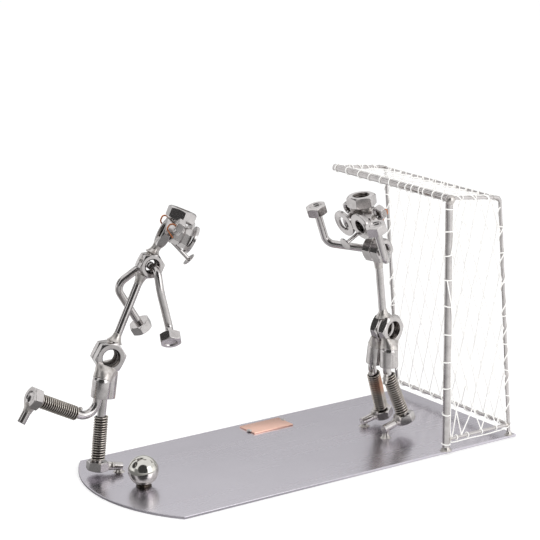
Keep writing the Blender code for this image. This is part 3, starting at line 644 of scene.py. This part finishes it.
washer = round_edges(lathed([
    (WASHER_HOLE, WASHER_THICK / 2), (WASHER_OUTER, WASHER_THICK / 2),
    (WASHER_OUTER, -WASHER_THICK / 2), (WASHER_HOLE, -WASHER_THICK / 2)], 72), 0.22, 40, 3)
washer.data.materials.append(nut_steel)
# An eye is two nuts end to end with a washer on their front
for name, middle, washer_middle, gaze, flat in EYES:
    pair = [placed_copy(nut_masters["eye"], facing(Vector(middle) + Vector(gaze) * along, gaze, flat))
            for along in (-2.5, 2.5)]
    lens = placed_copy(washer, facing(washer_middle, gaze, flat))
    keep(joined([lens] + pair), name, nut_steel)

for name, root, way, length in NAILS:
    nail = lathed([
        (0, length), (3.1, length - 0.05), (3.8, length - 0.2), (4, length - 0.5), (3.8, length - 0.8),
        (1.6, length - 0.95), (1.1, length - 1.5), (1.1, 0.3), (0.8, 0), (0, 0)], 40)
    nail.data.transform(facing(root, way, any_side(way)))
    keep(nail, name, nut_steel)

# Arms and legs. A toe's rod starts inside the heel
TOE_START = 4.2
for name, radius, corners, radii, flat in LIMBS:
    path = bent(corners, radii)
    way = path[-1] - path[-2]
    head = placed_copy(bolt_head, facing(corners[-1], way, flat))
    pieces = [head, rounded_tube(path, radius)]
    if name in TOES:
        heel, tip = Vector(corners[-1]), Vector(TOES[name])
        toe_way = (tip - heel).normalized()
        pieces.append(rounded_tube([(heel + toe_way * TOE_START) * MM, tip * MM], TOE, 0.6))
    keep(joined(pieces), name, rod_steel)

for name, low, way, length in THIGHS:
    sleeve = round_edges(lathed([
        (0, length - 0.4), (2.6, length - 0.5), (3.9, length - 0.9), (4.6, length - 1.4), (5, length - 2.1),
        (5.2, length - 3), (THIGH_OUTER, length - 4), (THIGH_OUTER, 0),
        (THIGH_BORE, 0), (THIGH_BORE, length - 3.2), (0, length - 3.2)], 64), 0.18, 50)
    sleeve.data.transform(facing(low, way, any_side(way)))
    keep(sleeve, name, nut_steel)

for name, radius, corners, radii in RODS:
    rod = rounded_tube(bent(corners, radii), radius, 0.3)
    keep(rod, name, rod_steel)


def coil(start, way):
    """The middle line of a close shin spring, with its turns a little closer at both ends."""
    place = facing(start, way, ACROSS)
    middle = (SPRING_OUTER - SPRING_WIRE) * MM
    count = SPRING_TURNS * 20
    low = SPRING_WIRE * MM
    rise = (SPRING_LENGTH - 2 * SPRING_WIRE) * MM
    path = []
    for step in range(count + 1):
        share = step / count
        angle = 2 * math.pi * share * SPRING_TURNS
        eased = share + 0.012 * math.sin(2 * math.pi * share)
        path.append(place @ Vector((middle * math.cos(angle), middle * math.sin(angle), low + rise * eased)))
    return path


for name, start, way in SPRINGS:
    spring = tubes([coil(start, way)], SPRING_WIRE, 3)
    # The keeper's right spring carries the painted orange reflection
    look = spring_paint_with_reflection if name == "keeper_spring_right" else spring_steel
    keep(spring, name, look)
    way = Vector(way).normalized()
    # A near-black sleeve inside the spring: painted shade in the gaps between the coils
    shade_sleeve = tubes([[Vector(start) * MM + way * depth * MM for depth in (0.7, 13, SPRING_LENGTH - 0.9)]], SHADE_SLEEVE, 7)
    keep(shade_sleeve, name + ".painted_shade", coil_shade_paint, False)

for name, corners in EAR_WIRES:
    wire = rounded_tube(bent(corners, (2, 2)), EAR_WIRE, 0.1, 4)
    keep(wire, name, ear_copper)

# The plate, its plaque and the ball
end_middle = PLATE_END_RADIUS - PLATE_HALF_LENGTH
spread = math.asin(PLATE_HALF_WIDTH / PLATE_END_RADIUS)
outline = [(PLATE_HALF_LENGTH, -PLATE_HALF_WIDTH), (PLATE_HALF_LENGTH, PLATE_HALF_WIDTH)]
end_steps = 96
for step in range(end_steps + 1):
    angle = math.pi - spread + 2 * spread * step / end_steps
    outline.append((end_middle + PLATE_END_RADIUS * math.cos(angle), PLATE_END_RADIUS * math.sin(angle)))
clear_selection()
bpy.ops.mesh.primitive_circle_add(vertices=len(outline), radius=MM, fill_type="NGON")
plate = bpy.context.object
for vertex, (x, y) in zip(plate.data.vertices, outline):
    vertex.co = (x * MM, y * MM, 0)
bpy.ops.object.mode_set(mode="EDIT")
bpy.ops.mesh.select_all(action="SELECT")
bpy.ops.mesh.extrude_region_move(TRANSFORM_OT_translate={"value": (0, 0, PLATE_TOP * MM)})
bpy.ops.object.mode_set(mode="OBJECT")
round_edges(tidy_mesh(plate), 0.25, 50, 3)
keep(plate, "base_plate", plate_sheet)

clear_selection()
bpy.ops.mesh.primitive_cube_add(size=MM)
plaque = bpy.context.object
plaque.data.transform(Matrix.Diagonal((*PLAQUE_SIZE, 1)))
plaque.data.transform(Matrix.Translation(Vector((*PLAQUE_MIDDLE, PLATE_TOP + PLAQUE_SIZE[2] / 2)) * MM))
round_edges(plaque, 0.2, 50, 3)
keep(plaque, "plaque", plaque_copper)

clear_selection()
bpy.ops.mesh.primitive_uv_sphere_add(segments=96, ring_count=48, radius=BALL_RADIUS * MM)
ball = bpy.context.object
ball.data.transform(Matrix.Translation(BALL * MM))
keep(smooth_all(ball), "ball", ball_steel)


# Welds
def foot_weld(spot, seed):
    """A trumpet of weld from a toe down to the plate, with the crease where two dabs met."""
    tall = spot[2] - PLATE_TOP
    stem = lathed([
        (0, tall + 0.8), (1.9, tall + 0.5), (2.4, tall), (2.1, tall * 0.75), (1.7, tall * 0.5),
        (1.9, tall * 0.3), (2.5, tall * 0.12), (3.3, 0.02), (0, 0)], 48)
    for vertex in stem.data.vertices:
        angle = math.atan2(vertex.co.y, vertex.co.x)
        crease = 1 - 0.28 * math.exp(-(((angle + 2.2) / 0.35) ** 2))
        crease -= 0.2 * math.exp(-(((angle - 0.9) / 0.4) ** 2))
        vertex.co.x *= crease
        vertex.co.y *= crease
    rough_up(stem, 0.2, 1.4, seed)
    stem.data.transform(Matrix.Translation(Vector((spot[0], spot[1], PLATE_TOP)) * MM))
    return smooth_all(stem)


def post_foot(x, y, rod_radius, seed):
    """The fillet that holds a post to the plate."""
    skirt = lathed([(0, 2.4), (rod_radius + 0.05, 2.4), (rod_radius + 0.25, 1.5), (rod_radius + 0.7, 0.6),
                    (rod_radius + 1.3, 0.05), (rod_radius + 1.2, 0), (0, 0)], 48)
    rough_up(skirt, 0.45, 1.5, seed)
    for vertex in skirt.data.vertices:
        vertex.co.z = max(vertex.co.z, 0)
    skirt.data.transform(Matrix.Translation(Vector((x, y, PLATE_TOP)) * MM))
    return smooth_all(skirt)


hip_nuts = {name: (Vector(place), axis) for name, size, place, axis, flat in NUTS if "hip_nut" in name}


def thigh_web(name, low, way, length, seed):
    """The weld from 3 mm down a thigh sleeve, over its top, to 6 mm from the middle of its hip nut."""
    start = Vector(low) + Vector(way).normalized() * (length - 3)
    hip, hip_way = hip_nuts[name.replace("thigh", "hip_nut")]
    meet = hip - (hip - start).normalized() * 6
    return weld_web(start, meet, hip_way, (THIGH_OUTER, THIGH_OUTER), (6.4, 3.5), seed, 1.9)


# Welds that fill a corner: both ends, the way across, the half width and depth at both ends, seed, and ease.
# Single dabs: spot, sizes, way, and seed. Rings: place, axis, radius, thickness, and seed
kicker_beads = [weld_web(*web) for web in (
    ((-72.4, 23.9, 126), (-68, 23, 131.9), KICKER_GAZE, (2.5, 2.5), (6.6, 2.5), 1, 2.2),
    ((-71.6, 23.85, 126.9), (-73.6, 23.95, 124.2), KICKER_ACROSS, (2.4, 2.5), (4.4, 3.6), 2),
    ((-83.2, 24, 108.8), (-81, 24, 113), KICKER_ACROSS, (2.3, 2.3), (3.8, 3.6), 3, 2),
    ((-97, 24, 82.2), (-99.2, 24, 78), KICKER_ACROSS, (2.3, 2.3), (4.6, 3.9), 4, 2),
    ((-158, 18.4, 50.4), (-155.8, 18.4, 53.6), ACROSS, (2.4, 2.4), (3.6, 3.3), 12),
    ((-102.2, 27.3, 5.6), (-105.6, 28.1, 6), UP, (2.4, 2.4), (3.2, 2.8), 13),
    ((-62.3, 15.4, 137), (-60.2, 17.2, 141.8), KICKER_GAZE, (2.6, 2.6), (3.2, 3), 16),
    ((-58.6, 23.6, 136.4), (-58.4, 21.4, 141.4), KICKER_GAZE, (2.6, 2.6), (3.2, 3), 17),
)] + [weld_lump(*dab) for dab in (
    ((-101.8, 23.6, 78.9), (2.2, 2.8, 0.9), (-0.5, 0, 1), 5),
    ((-123.6, 21.4, 43), (1.1, 1, 1.1), (0.3, 0.9, 0.3), 10),
    ((-126.2, 16.2, 46.6), (1.4, 1.1, 1), (-0.5, -0.2, 0.9), 11),
    ((-101.6, 25.2, 6.7), (1.9, 1.2, 1.1), (0.4, -0.8, 0.5), 14),
    ((-104.3, 31.9, 34.8), (1.1, 1, 1.3), (0.5, 0.8, 0), 15),
    ((-64.2, 17.2, 134.8), (1.8, 2.1, 2), (0.78, -0.38, -0.5), 19),
    ((-61.8, 25.6, 134), (1.8, 2.1, 2), (0.78, -0.38, -0.5), 20),
    ((-65, 10.6, 138.2), (1.5, 1.8, 1.3), (0.1, 0.8, 0.5), 21),
    ((-55.9, 30.8, 137), (1.5, 1.8, 1.3), (0.1, -0.8, 0.5), 22),
    ((-63.4, 21, 131.2), (1.7, 1.7, 1.3), (0.6, -0.3, -0.75), 25),
    ((-79.6, 24.2, 122.3), (2.4, 3, 1.2), (-0.6, 0, 1), 26),
    ((-79.9, 23.8, 113.3), (2.2, 2.8, 1.2), (-0.6, 0, -1), 27),
    ((-75.2, 24, 124.6), (2, 2.7, 0.8), UP, 28),
)] + [weld_ring(*ring) for ring in (
    ((-67.9, 7.4, 142.2), KICKER_GAZE, 1.1, 0.7, 23),
    ((-55.8, 34.6, 140.4), KICKER_GAZE, 1.1, 0.7, 24),
)]
keeper_beads = [weld_web(*web) for web in (
    ((62.1, -3.2, 119.8), (59.6, -2.8, 126.2), KEEPER_GAZE, (2.5, 2.5), (5.4, 2.5), 31, 2.2),
    ((62, -3.2, 120.4), (62.2, -3.05, 117.6), KEEPER_ACROSS, (2.4, 2.5), (3.9, 3.6), 32),
    ((62.9, -3, 101), (62.6, -3, 106.2), KEEPER_ACROSS, (2.3, 2.3), (3.9, 3.7), 33, 2),
    ((66, -3, 75.6), (66.3, -3, 71), KEEPER_ACROSS, (2.3, 2.3), (5, 4), 34, 1.7),
    ((60.6, -12.4, 33.6), (62.2, -11.4, 38.2), ACROSS, (1.3, 1.3), (1.7, 1.5), 40),
    ((66, -15.2, 9.6), (70.2, -14.9, 10), UP, (2.4, 2.4), (3.4, 3), 43),
    ((67.2, 8.7, 6.5), (71.2, 8.6, 7.4), UP, (2.4, 2.4), (3.4, 3), 46),
    ((52.4, -7.2, 133.4), (51.6, -5, 139), KEEPER_GAZE, (2.6, 2.6), (3.2, 3), 48),
    ((52.8, 2.6, 132.6), (51.8, 1.6, 138.8), KEEPER_GAZE, (2.6, 2.6), (3.2, 3), 49),
)] + [weld_lump(*dab) for dab in (
    ((66.6, -3, 71.4), (4, 3.2, 0.9), UP, 35),
    ((61.1, -12.6, 36.4), (1.7, 1.5, 1.9), (-0.8, -0.5, 0.3), 41),
    ((61.4, 1.8, 35.9), (1.7, 1.5, 1.9), (-0.8, -0.4, 0.3), 42),
    ((67.4, -16.6, 11.9), (2, 1.6, 2.2), (-0.3, -0.4, 0.9), 44),
    ((68.2, -13.4, 12.3), (1.7, 1.6, 1.7), (-0.4, 0.2, 0.8), 45),
    ((68.4, 6.8, 9.2), (1.8, 1.4, 1.6), (-0.4, -0.5, 0.7), 47),
    ((54.6, -6.2, 130.4), (1.8, 2.1, 2), (-0.93, 0, -0.37), 50),
    ((54.8, 1.4, 129.8), (1.8, 2.1, 2), (-0.93, 0, -0.37), 51),
    ((51.6, -12.8, 134.2), (1.5, 1.8, 1.3), (0, 0.8, 0.5), 52),
    ((52.6, 8.8, 132.4), (1.5, 1.8, 1.3), (0, -0.8, 0.5), 53),
    ((55.6, -2.8, 127.4), (1.8, 1.6, 1.4), (-0.9, 0, -0.4), 56),
    ((59.4, -0.6, 113.6), (1.6, 2.8, 2.4), (-1, 0, 0.2), 57),
    ((60.9, -3.4, 118), (2.6, 2.9, 1), UP, 58),
    ((60, 4.2, 112), (1.5, 1.5, 1.7), (-0.6, 0.8, 0.2), 59),
)] + [weld_ring(*ring) for ring in (
    ((54.1, -16.9, 138), KEEPER_GAZE, 1.1, 0.7, 54),
    ((55.1, 12.8, 135.6), KEEPER_GAZE, 1.1, 0.7, 55),
)]
figure_beads = {"kicker": kicker_beads, "keeper": keeper_beads}
for thigh, seed in zip(THIGHS, (61, 63, 69, 67)):
    figure_beads[thigh[0].split("_")[0]].append(thigh_web(*thigh, seed))
for (leg, spot), seed in zip(FOOT_WELDS.items(), (71, 72, 73)):
    figure_beads[leg.split("_")[0]].append(foot_weld(spot, seed))
goal_beads = [weld_web(*web) for web in (
    ((76.4, NEAR, 149.4), (74.8, NEAR, BAR_TOP), ACROSS, (1.15, 1.15), (1.8, 1.8), 76),
    ((76.4, FAR, 149.4), (74.8, FAR, BAR_TOP), ACROSS, (1.15, 1.15), (1.8, 1.8), 77),
    ((BACK_TOP_X, -51.6, BACK_TOP), (109.5, -53, 144.6), UP, (1.1, 1.1), (1.6, 1.5), 80),
    ((BACK_TOP_X, 50.2, BACK_TOP), (109.5, 51.4, 144.6), UP, (1.1, 1.1), (1.6, 1.5), 81),
    ((BACK_LOW_X, -51.4, LOW_BAR), (120.2, -53, LOW_BAR), UP, (1.15, 1.15), (1.9, 1.8), 82),
    ((BACK_LOW_X, 50, LOW_BAR), (120.2, 51.4, LOW_BAR), UP, (1.15, 1.15), (1.9, 1.8), 83),
    ((77, NEAR, LOW_BAR), (74.8, NEAR, LOW_BAR), ACROSS, (1.2, 1.2), (2.2, 2), 84),
    ((117.8, NEAR, LOW_BAR), (119.7, NEAR, LOW_BAR), ACROSS, (1.15, 1.15), (1.7, 1.7), 85),
)] + [weld_lump(*dab) for dab in (
    ((POST_X, -54.6, 148.9), (2.7, 2.7, 2.6), (0, -1, 0), 74),
    ((POST_X, 53.2, 149.4), (2, 2, 1.2), ACROSS, 75),
)] + [weld_ring(*ring) for ring in (
    ((105.1, NEAR, 146), TOP_ROD_WAY, 0.95, 0.35, 78),
    ((105.1, FAR, 146), TOP_ROD_WAY, 0.95, 0.35, 79),
)] + [post_foot(*foot) for foot in (
    (POST_X, NEAR, POST, 86),
    (120.6, -53.4, 1.15, 87),
    (120.6, FAR, 1.15, 88),
)]
# The dark ring of weld under the ball: partly weld, partly painted contact shadow
ball_weld_beads = [weld_ring((BALL.x, BALL.y, PLATE_TOP + 0.5), UP, 3.3, 1, 91, 0.8)]
plaque_tacks = [
    weld_lump((0.6, 40.4, PLATE_TOP + 0.7), (1.9, 1.4, 0.8), UP, 95),
    weld_lump((28.4, 45, PLATE_TOP + 0.7), (1.8, 1.3, 0.7), UP, 96),
]
for pieces, name, look in (
        (kicker_beads, "kicker_welds", weld_metal), (keeper_beads, "keeper_welds", weld_metal),
        (goal_beads, "goal_welds", weld_metal), (ball_weld_beads, "ball_weld", weld_with_painted_shadow),
        (plaque_tacks, "plaque_tacks", weld_metal)):
    keep(smooth_all(joined(pieces)), name, look, False)


# The nets: strings knotted where they cross, turns of string pulled round the rods, and string wound along them
clear_selection()
bpy.ops.mesh.primitive_ico_sphere_add(subdivisions=2, radius=STRING * 1.8 * MM)
knot_master = rough_up(bpy.context.object, 0.1, 0.5, 3)
turn_masters = {}
for rod_radius in (THIN, BAR, POST):
    clear_selection()
    bpy.ops.mesh.primitive_torus_add(
        major_segments=28, minor_segments=8,
        major_radius=(rod_radius + STRING * 0.8) * MM, minor_radius=STRING * MM)
    turn_masters[rod_radius] = bpy.context.object


def string_turns(spots, way, rod_radius, lean, lean_step, cycle, twist):
    """Turns of string pulled round a rod. Each leans a step more than the last, in a cycle, and twists on."""
    turns = []
    for number, spot in enumerate(spots):
        tilt = Matrix.Rotation(math.radians(lean + number % cycle * lean_step), 4, "X")
        turned = Matrix.Rotation(math.radians(number * twist), 4, "Z") @ tilt
        turns.append(placed_copy(turn_masters[rod_radius], facing(spot, way, any_side(way)) @ turned))
    return turns


def lacing(start, end, turns, phase):
    """String wound along a thin rod in long open turns."""
    low, high = Vector(start), Vector(end)
    frame_at = facing((0, 0, 0), high - low, any_side(high - low)).to_3x3()
    path = []
    steps_per_turn = 14
    count = int(turns * steps_per_turn)
    for step in range(count + 1):
        angle = phase + 2 * math.pi * step / steps_per_turn
        out = frame_at @ Vector((math.cos(angle), math.sin(angle), 0)) * (THIN + STRING)
        path.append((low.lerp(high, step / count) + out) * MM)
    return path


def net_strings(corners, cells, rows, sag=0.9, low_edge=None):
    """A diamond net between four corners: the lines of its strings, which lean both ways, and its knots."""
    low_start, low_end, high_end, high_start = (Vector(corner) for corner in corners)
    normal = (low_end - low_start).cross(high_start - low_start).normalized()
    columns = cells * 2
    knots = {}
    for row in range(rows + 1):
        for column in range(columns + 1):
            if (row + column) % 2 == 0:
                low = low_start.lerp(low_end, column / columns)
                if low_edge and row < 2:
                    low.x = low_edge[column]
                place = low.lerp(high_start.lerp(high_end, column / columns), row / rows)
                inner = 0 < row < rows and 0 < column < columns
                loose = Vector((
                    noise.noise(place * 0.31), noise.noise(place * 0.37 + UP * 9),
                    noise.noise(place * 0.29 - UP * 7)))
                knots[column, row] = place + (loose * sag if inner else Vector())
    paths = []
    for lean in (1, -1):
        for column in range(-rows, columns + rows + 1):
            slant = [(column + lean * row, row) for row in range(rows + 1)]
            run = [knots[spot] for spot in slant if spot in knots]
            if len(run) > 1:
                path = []
                for first, second in zip(run, run[1:]):
                    for share in (0, 1 / 3, 2 / 3):
                        over = normal * 0.18 * lean * math.sin(math.pi * share)
                        path.append((first.lerp(second, share) + over) * MM)
                path.append(run[-1] * MM)
                paths.append(path)
    pieces = [placed_copy(knot_master, Matrix.Translation(place * MM)) for place in knots.values()]
    return paths, pieces


SIDE_NET = ((76.4, NEAR, 8.9), (118.6, NEAR, 8.9), (109.6, NEAR, 140.9), (76.4, NEAR, 145.8))
BACK_NET = ((120, -51.2, 9.3), (120, 49.6, 9.3), (109.57, 49.6, 143.2), (109.57, -51.2, 143.2))
TOP_NET = ((76, -51.2, 149.5), (76, 49.6, 149.5), (108.6, 49.6, 144.8), (108.6, -51.2, 144.8))
# Where the side net is tied along the low bar
SIDE_TIES = (77.6, 81, 84.6, 93.9, 99.3, 105.4, 111, 115.4, 118.4)

side_paths, side_strings = net_strings(SIDE_NET, 4, 9, 0.9, SIDE_TIES)
back_paths, back_strings = net_strings(BACK_NET, 10, 9)
top_paths, top_strings = net_strings(TOP_NET, 10, 3, 0.5)
for spots in (
        # The selvedge string beside the post
        [(75.75 + 0.35 * math.sin(height * 0.9), -54.1 + 0.3 * math.sin(height * 0.6), height) for height in (
            146, 143.7, 137, 130.7, 124, 117.2, 110, 103, 95, 87.6, 79, 70.5, 62, 54.6,
            47, 39.3, 31, 23.6, 14, 8.9)],
        # Two strings that cross the post's face from one turn down to the next
        ((71.3, -55.2, 102.6), (72.1, -56.05, 96), (73.6, -56.1, 89), (74.9, -55.5, 80), (75.5, -54.6, 71.5)),
        ((75.3, -54.9, 130), (74.2, -55.9, 123), (72.9, -56.1, 117.4)),
        # The string that runs under the low bar
        ((75.6, -54.6, 8.9), (75.7, -55, 6.2), (79, -54.9, 6), (90, -54.8, 6.1), (103, -54.9, 5.9),
         (113, -54.8, 6.2), (118.6, -54.7, 6.7), (120.4, -55.1, 8.4))):
    side_paths.append([Vector(spot) * MM for spot in spots])
for paths, low, high, turns, phase in (
        (side_paths, (119.6, NEAR, 15.6), (110.6, NEAR, 140), 8.3, 0.6),
        (side_paths, (78, NEAR, 149.3), (104, NEAR, 146.2), 2.5, 2),
        (back_paths, (BACK_TOP_X, -50.5, BACK_TOP), (BACK_TOP_X, 49.5, BACK_TOP), 18, 1),
        (back_paths, (BACK_LOW_X, -50.5, LOW_BAR), (BACK_LOW_X, 49.5, LOW_BAR), 9.5, 1),
        (back_paths, (119.6, FAR, 15.6), (110.6, FAR, 140), 8.3, 2.4),
        (top_paths, (78, FAR, 149.3), (104, FAR, 146.2), 4.5, 2)):
    paths.append(lacing(low, high, turns, phase))

# Where the turns stand: up the post and the back posts, and along the bars and the top rods
post_spots = [(POST_X, NEAR, height) for height in (
    143.7, 130.7, 117.2, 103, 87.6, 70.5, 54.6, 39.3, 23.6, 5.5)]
back_post_heights = (128.3, 112.5, 95, 75.2, 58.1, 42, 26.1)
low_bar_spots = [(x, NEAR, LOW_BAR) for x in (80.6, 88.8, 99.3, 110.3)]
back_top_spots = [(BACK_TOP_X, -46.3 + number * 10.1, BACK_TOP) for number in range(10)]
back_low_spots = [(BACK_LOW_X, -45.3 + number * 10.1, LOW_BAR) for number in range(10)]
crossbar_ys = (-49.7, -41.3, -32.8, -28.2, -21.9, -16.8, -10.4, -1.1, 7.4, 17.9, 27.6, 39.8, 50.4)
crossbar_spots = [(POST_X, y, BAR_TOP) for y in crossbar_ys]


def back_post_spots(y):
    """Spots up a back post, which leans forward as it rises."""
    return [(120.6 - (height - 1.8) * 10.4 / 143.6, y, height) for height in back_post_heights]


def top_rod_spots(y):
    """Spots along a top rod, which falls to the back."""
    return [(x, y, BAR_TOP - (x - 75.5) * 3.56 / 29.44) for x in (82, 91.5, 100.6)]


for strings, spots, way, rod_radius, lean, lean_step, cycle, twist in (
        (side_strings, post_spots, UP, POST, 4, 5, 3, 77),
        (side_strings, back_post_spots(NEAR), BACK_POST_WAY, THIN, 10, 8, 2, 63),
        (back_strings, back_post_spots(FAR), BACK_POST_WAY, THIN, 10, 8, 2, 51),
        (side_strings, low_bar_spots, ALONG, THIN, 8, 0, 1, 90),
        (side_strings, top_rod_spots(NEAR), TOP_ROD_WAY, THIN, 8, 0, 1, 70),
        (top_strings, top_rod_spots(FAR), TOP_ROD_WAY, THIN, 8, 0, 1, 70),
        (top_strings, crossbar_spots, ACROSS, BAR, 3, 4, 4, 83),
        (back_strings, back_top_spots, ACROSS, THIN, 8, 5, 3, 47),
        (back_strings, back_low_spots, ACROSS, THIN, 8, 5, 3, 57)):
    strings += string_turns(spots, way, rod_radius, lean, lean_step, cycle, twist)
for paths, pieces, name in (
        (side_paths, side_strings, "net_side"), (back_paths, back_strings, "net_back"),
        (top_paths, top_strings, "net_top")):
    keep(smooth_all(joined([tubes(paths, STRING, 2)] + pieces)), name, net_string)

for master in list(nut_masters.values()) + list(turn_masters.values()) + [bolt_head, washer, knot_master]:
    bpy.data.objects.remove(master, do_unlink=True)


# Camera at the photograph's angle, placed in metres
turn, tip, roll = math.radians(34.6635), math.radians(14.4808), math.radians(-0.4493)
ahead = Vector((math.sin(turn) * math.cos(tip), math.cos(turn) * math.cos(tip), -math.sin(tip)))
level = Vector((math.cos(turn), -math.sin(turn), 0))
above = level.cross(ahead)
right = level * math.cos(roll) + above * math.sin(roll)
top = above * math.cos(roll) - level * math.sin(roll)
bpy.ops.object.camera_add(location=(-0.68082, -0.96795, 0.41427))
camera = bpy.context.object
camera.name = "camera"
camera.rotation_euler = Matrix((right, top, -ahead)).transposed().to_euler()
camera.data.lens = 144.79
bpy.context.scene.camera = camera

# A pale floor that shows white and keeps the shadow
clear_selection()
bpy.ops.mesh.primitive_plane_add(size=14)
floor = bpy.context.object
floor.name = "floor"
floor_paint, floor_tree, floor_shader = blank_finish("white_table", 0, 0.9)
floor_shader.inputs["Base Color"].default_value = linear("#F4F4F4")
floor_shader.inputs["Specular IOR Level"].default_value = 0
seen = node(floor_tree, "ShaderNodeLightPath")
lift = node(floor_tree, "ShaderNodeMath", {"operation": "MULTIPLY"}, {
    0: seen.outputs["Is Camera Ray"], 1: 0.27})
floor_tree.links.new(lift.outputs[0], floor_shader.inputs["Emission Strength"])
floor.data.materials.append(floor_paint)

centre = Vector((0, 0, 0.07))
camera_side = Vector((-math.sin(turn), -math.cos(turn), 0))


def tent_piece(piece, name, round_shades, out_shades, strength=1):
    """A piece of the light tent that only polished metal sees.

    Its shades run round it, and in from one metre out, at 0, to its middle, at 1."""
    piece.name = name
    paint = bpy.data.materials.new(name + "_cloth")
    paint.use_nodes = True
    tree = paint.node_tree
    tree.nodes.clear()
    place = node(tree, "ShaderNodeTexCoord").outputs["Object"]
    ramps = []
    for kind, shades in (("RADIAL", round_shades), ("SPHERICAL", out_shades)):
        spread = node(tree, "ShaderNodeTexGradient", {"gradient_type": kind}, {"Vector": place})
        ramp = node(tree, "ShaderNodeValToRGB", {}, {"Fac": spread.outputs["Fac"]})
        for number, (spot, level_of_light) in enumerate(shades):
            stop = ramp.color_ramp.elements[number] if number < 2 else ramp.color_ramp.elements.new(spot)
            stop.position = spot
            stop.color = (level_of_light, level_of_light, level_of_light, 1)
        ramps.append(ramp.outputs["Color"])
    both = node(tree, "ShaderNodeVectorMath", {"operation": "MULTIPLY"}, {0: ramps[0], 1: ramps[1]})
    glow = node(tree, "ShaderNodeEmission", {}, {"Color": both.outputs[0], "Strength": strength})
    out = node(tree, "ShaderNodeOutputMaterial")
    tree.links.new(glow.outputs["Emission"], out.inputs["Surface"])
    piece.data.materials.append(paint)
    piece.visible_camera = piece.visible_diffuse = piece.visible_shadow = piece.visible_transmission = False
    return piece


EVEN = ((0, 1), (1, 1))
TENT_RADIUS, WALL_HEIGHT = 1.6, 0.62
tent_turn = (0, 0, math.pi * 1.5 - turn)

# Shades run round the tent: 0 and 1 are behind the object, 0.5 is towards the camera, and 0 to 0.5 is at
# its left. The tent's wall is dim behind the object and towards the camera, light grey at the left and
# white at the right
clear_selection()
bpy.ops.mesh.primitive_cylinder_add(
    vertices=96, radius=TENT_RADIUS, depth=WALL_HEIGHT, end_fill_type="NOTHING",
    location=(0, 0, WALL_HEIGHT / 2))
wall = tent_piece(bpy.context.object, "tent_wall", (
    (0, 0.3), (0.07, 0.3), (0.11, 0.68), (0.2, 0.62), (0.24, 0.85), (0.28, 0.85), (0.33, 0.2), (0.46, 0.2),
    (0.56, 0.3), (0.61, 0.7), (0.68, 1), (0.76, 1), (0.83, 0.5), (0.9, 0.32), (0.94, 0.3), (1, 0.3)), EVEN, 1.4)
wall.rotation_euler = tent_turn

# The table as metal sees it: bright at both sides, grey behind and in front, with one dark seam at the left
clear_selection()
bpy.ops.mesh.primitive_circle_add(vertices=96, radius=TENT_RADIUS, fill_type="NGON", location=(0, 0, 0.0002))
table = tent_piece(bpy.context.object, "tent_table", (
    (0, 0.4), (0.05, 0.5), (0.11, 0.85), (0.2, 0.75), (0.25, 0.5), (0.29, 0.22), (0.37, 0.22), (0.42, 0.42),
    (0.55, 0.6), (0.67, 0.9), (0.81, 0.95), (0.93, 0.5), (1, 0.4)), ((0, 1), (0.8, 0.95), (1, 0.7)), 1.25)
table.rotation_euler = tent_turn


def tent_patch(name, way, distance, size, middle):
    """A round opening in the tent, as dark as its middle says and lighter at its soft edge."""
    clear_selection()
    bpy.ops.mesh.primitive_circle_add(vertices=64, radius=1, fill_type="NGON")
    patch = bpy.context.object
    way = Vector(way).normalized()
    inwards = (-way).to_track_quat("Z", "Y").to_matrix().to_4x4()
    patch.matrix_world = (
        Matrix.Translation(centre + way * distance) @ inwards @ Matrix.Diagonal((size, size, size, 1)))
    tent_piece(patch, name, EVEN, ((0, 0.5), (0.12, middle)))


tent_patch("tent_opening", camera_side - right * 0.05 + UP * 0.42, 1.2, 0.95, 0.06)
tent_patch("tent_vent", -camera_side * 0.8 - right * 0.6 + UP * 1.4, 1.3, 0.34, 0.1)
tent_patch("tent_side_vent", UP * 0.58 - right, 1.3, 0.5, 0.06)

# Plain light: an even white room and two soft lamps
world = bpy.context.scene.world or bpy.data.worlds.new("white_room")
bpy.context.scene.world = world
world.use_nodes = True
room = world.node_tree
room.nodes.clear()
sight = node(room, "ShaderNodeLightPath")
even = node(room, "ShaderNodeBackground", {}, {"Color": (1, 1, 1, 1), "Strength": 0.82})
white = node(room, "ShaderNodeBackground", {}, {"Color": (1, 1, 1, 1), "Strength": 1})
shown = sight.outputs["Is Camera Ray"]
for kind_of_ray in ("Is Glossy Ray", "Is Transmission Ray"):
    most = node(room, "ShaderNodeMath", {"operation": "MAXIMUM"}, {0: shown, 1: sight.outputs[kind_of_ray]})
    shown = most.outputs[0]
either = node(room, "ShaderNodeMixShader", {}, {0: shown, 1: even.outputs[0], 2: white.outputs[0]})
room_out = node(room, "ShaderNodeOutputWorld")
room.links.new(either.outputs[0], room_out.inputs["Surface"])


def soft_lamp(name, place, size, power):
    """A softbox that looks at the object."""
    bpy.ops.object.light_add(type="AREA", location=place)
    lamp = bpy.context.object
    lamp.name = name
    lamp.data.shape = "RECTANGLE"
    lamp.data.size, lamp.data.size_y = size
    lamp.data.energy = power
    lamp.rotation_euler = (centre - Vector(place)).to_track_quat("-Z", "Y").to_euler()
    return lamp


right_way = (camera_side * 0.75 + right * 0.9 + UP * 0.35).normalized()
left_way = (camera_side * 0.3 - right + UP * 0.45).normalized()
soft_lamp("softbox_right", centre + right_way * 1.1, (0.7, 0.9), 3)
left_lamp = soft_lamp("softbox_left", centre + left_way * 1.2, (0.9, 0.9), 3.2)

# Metal sees the tent's own left side in its place
left_lamp.visible_glossy = False

bpy.context.scene.view_settings.view_transform = "Standard"
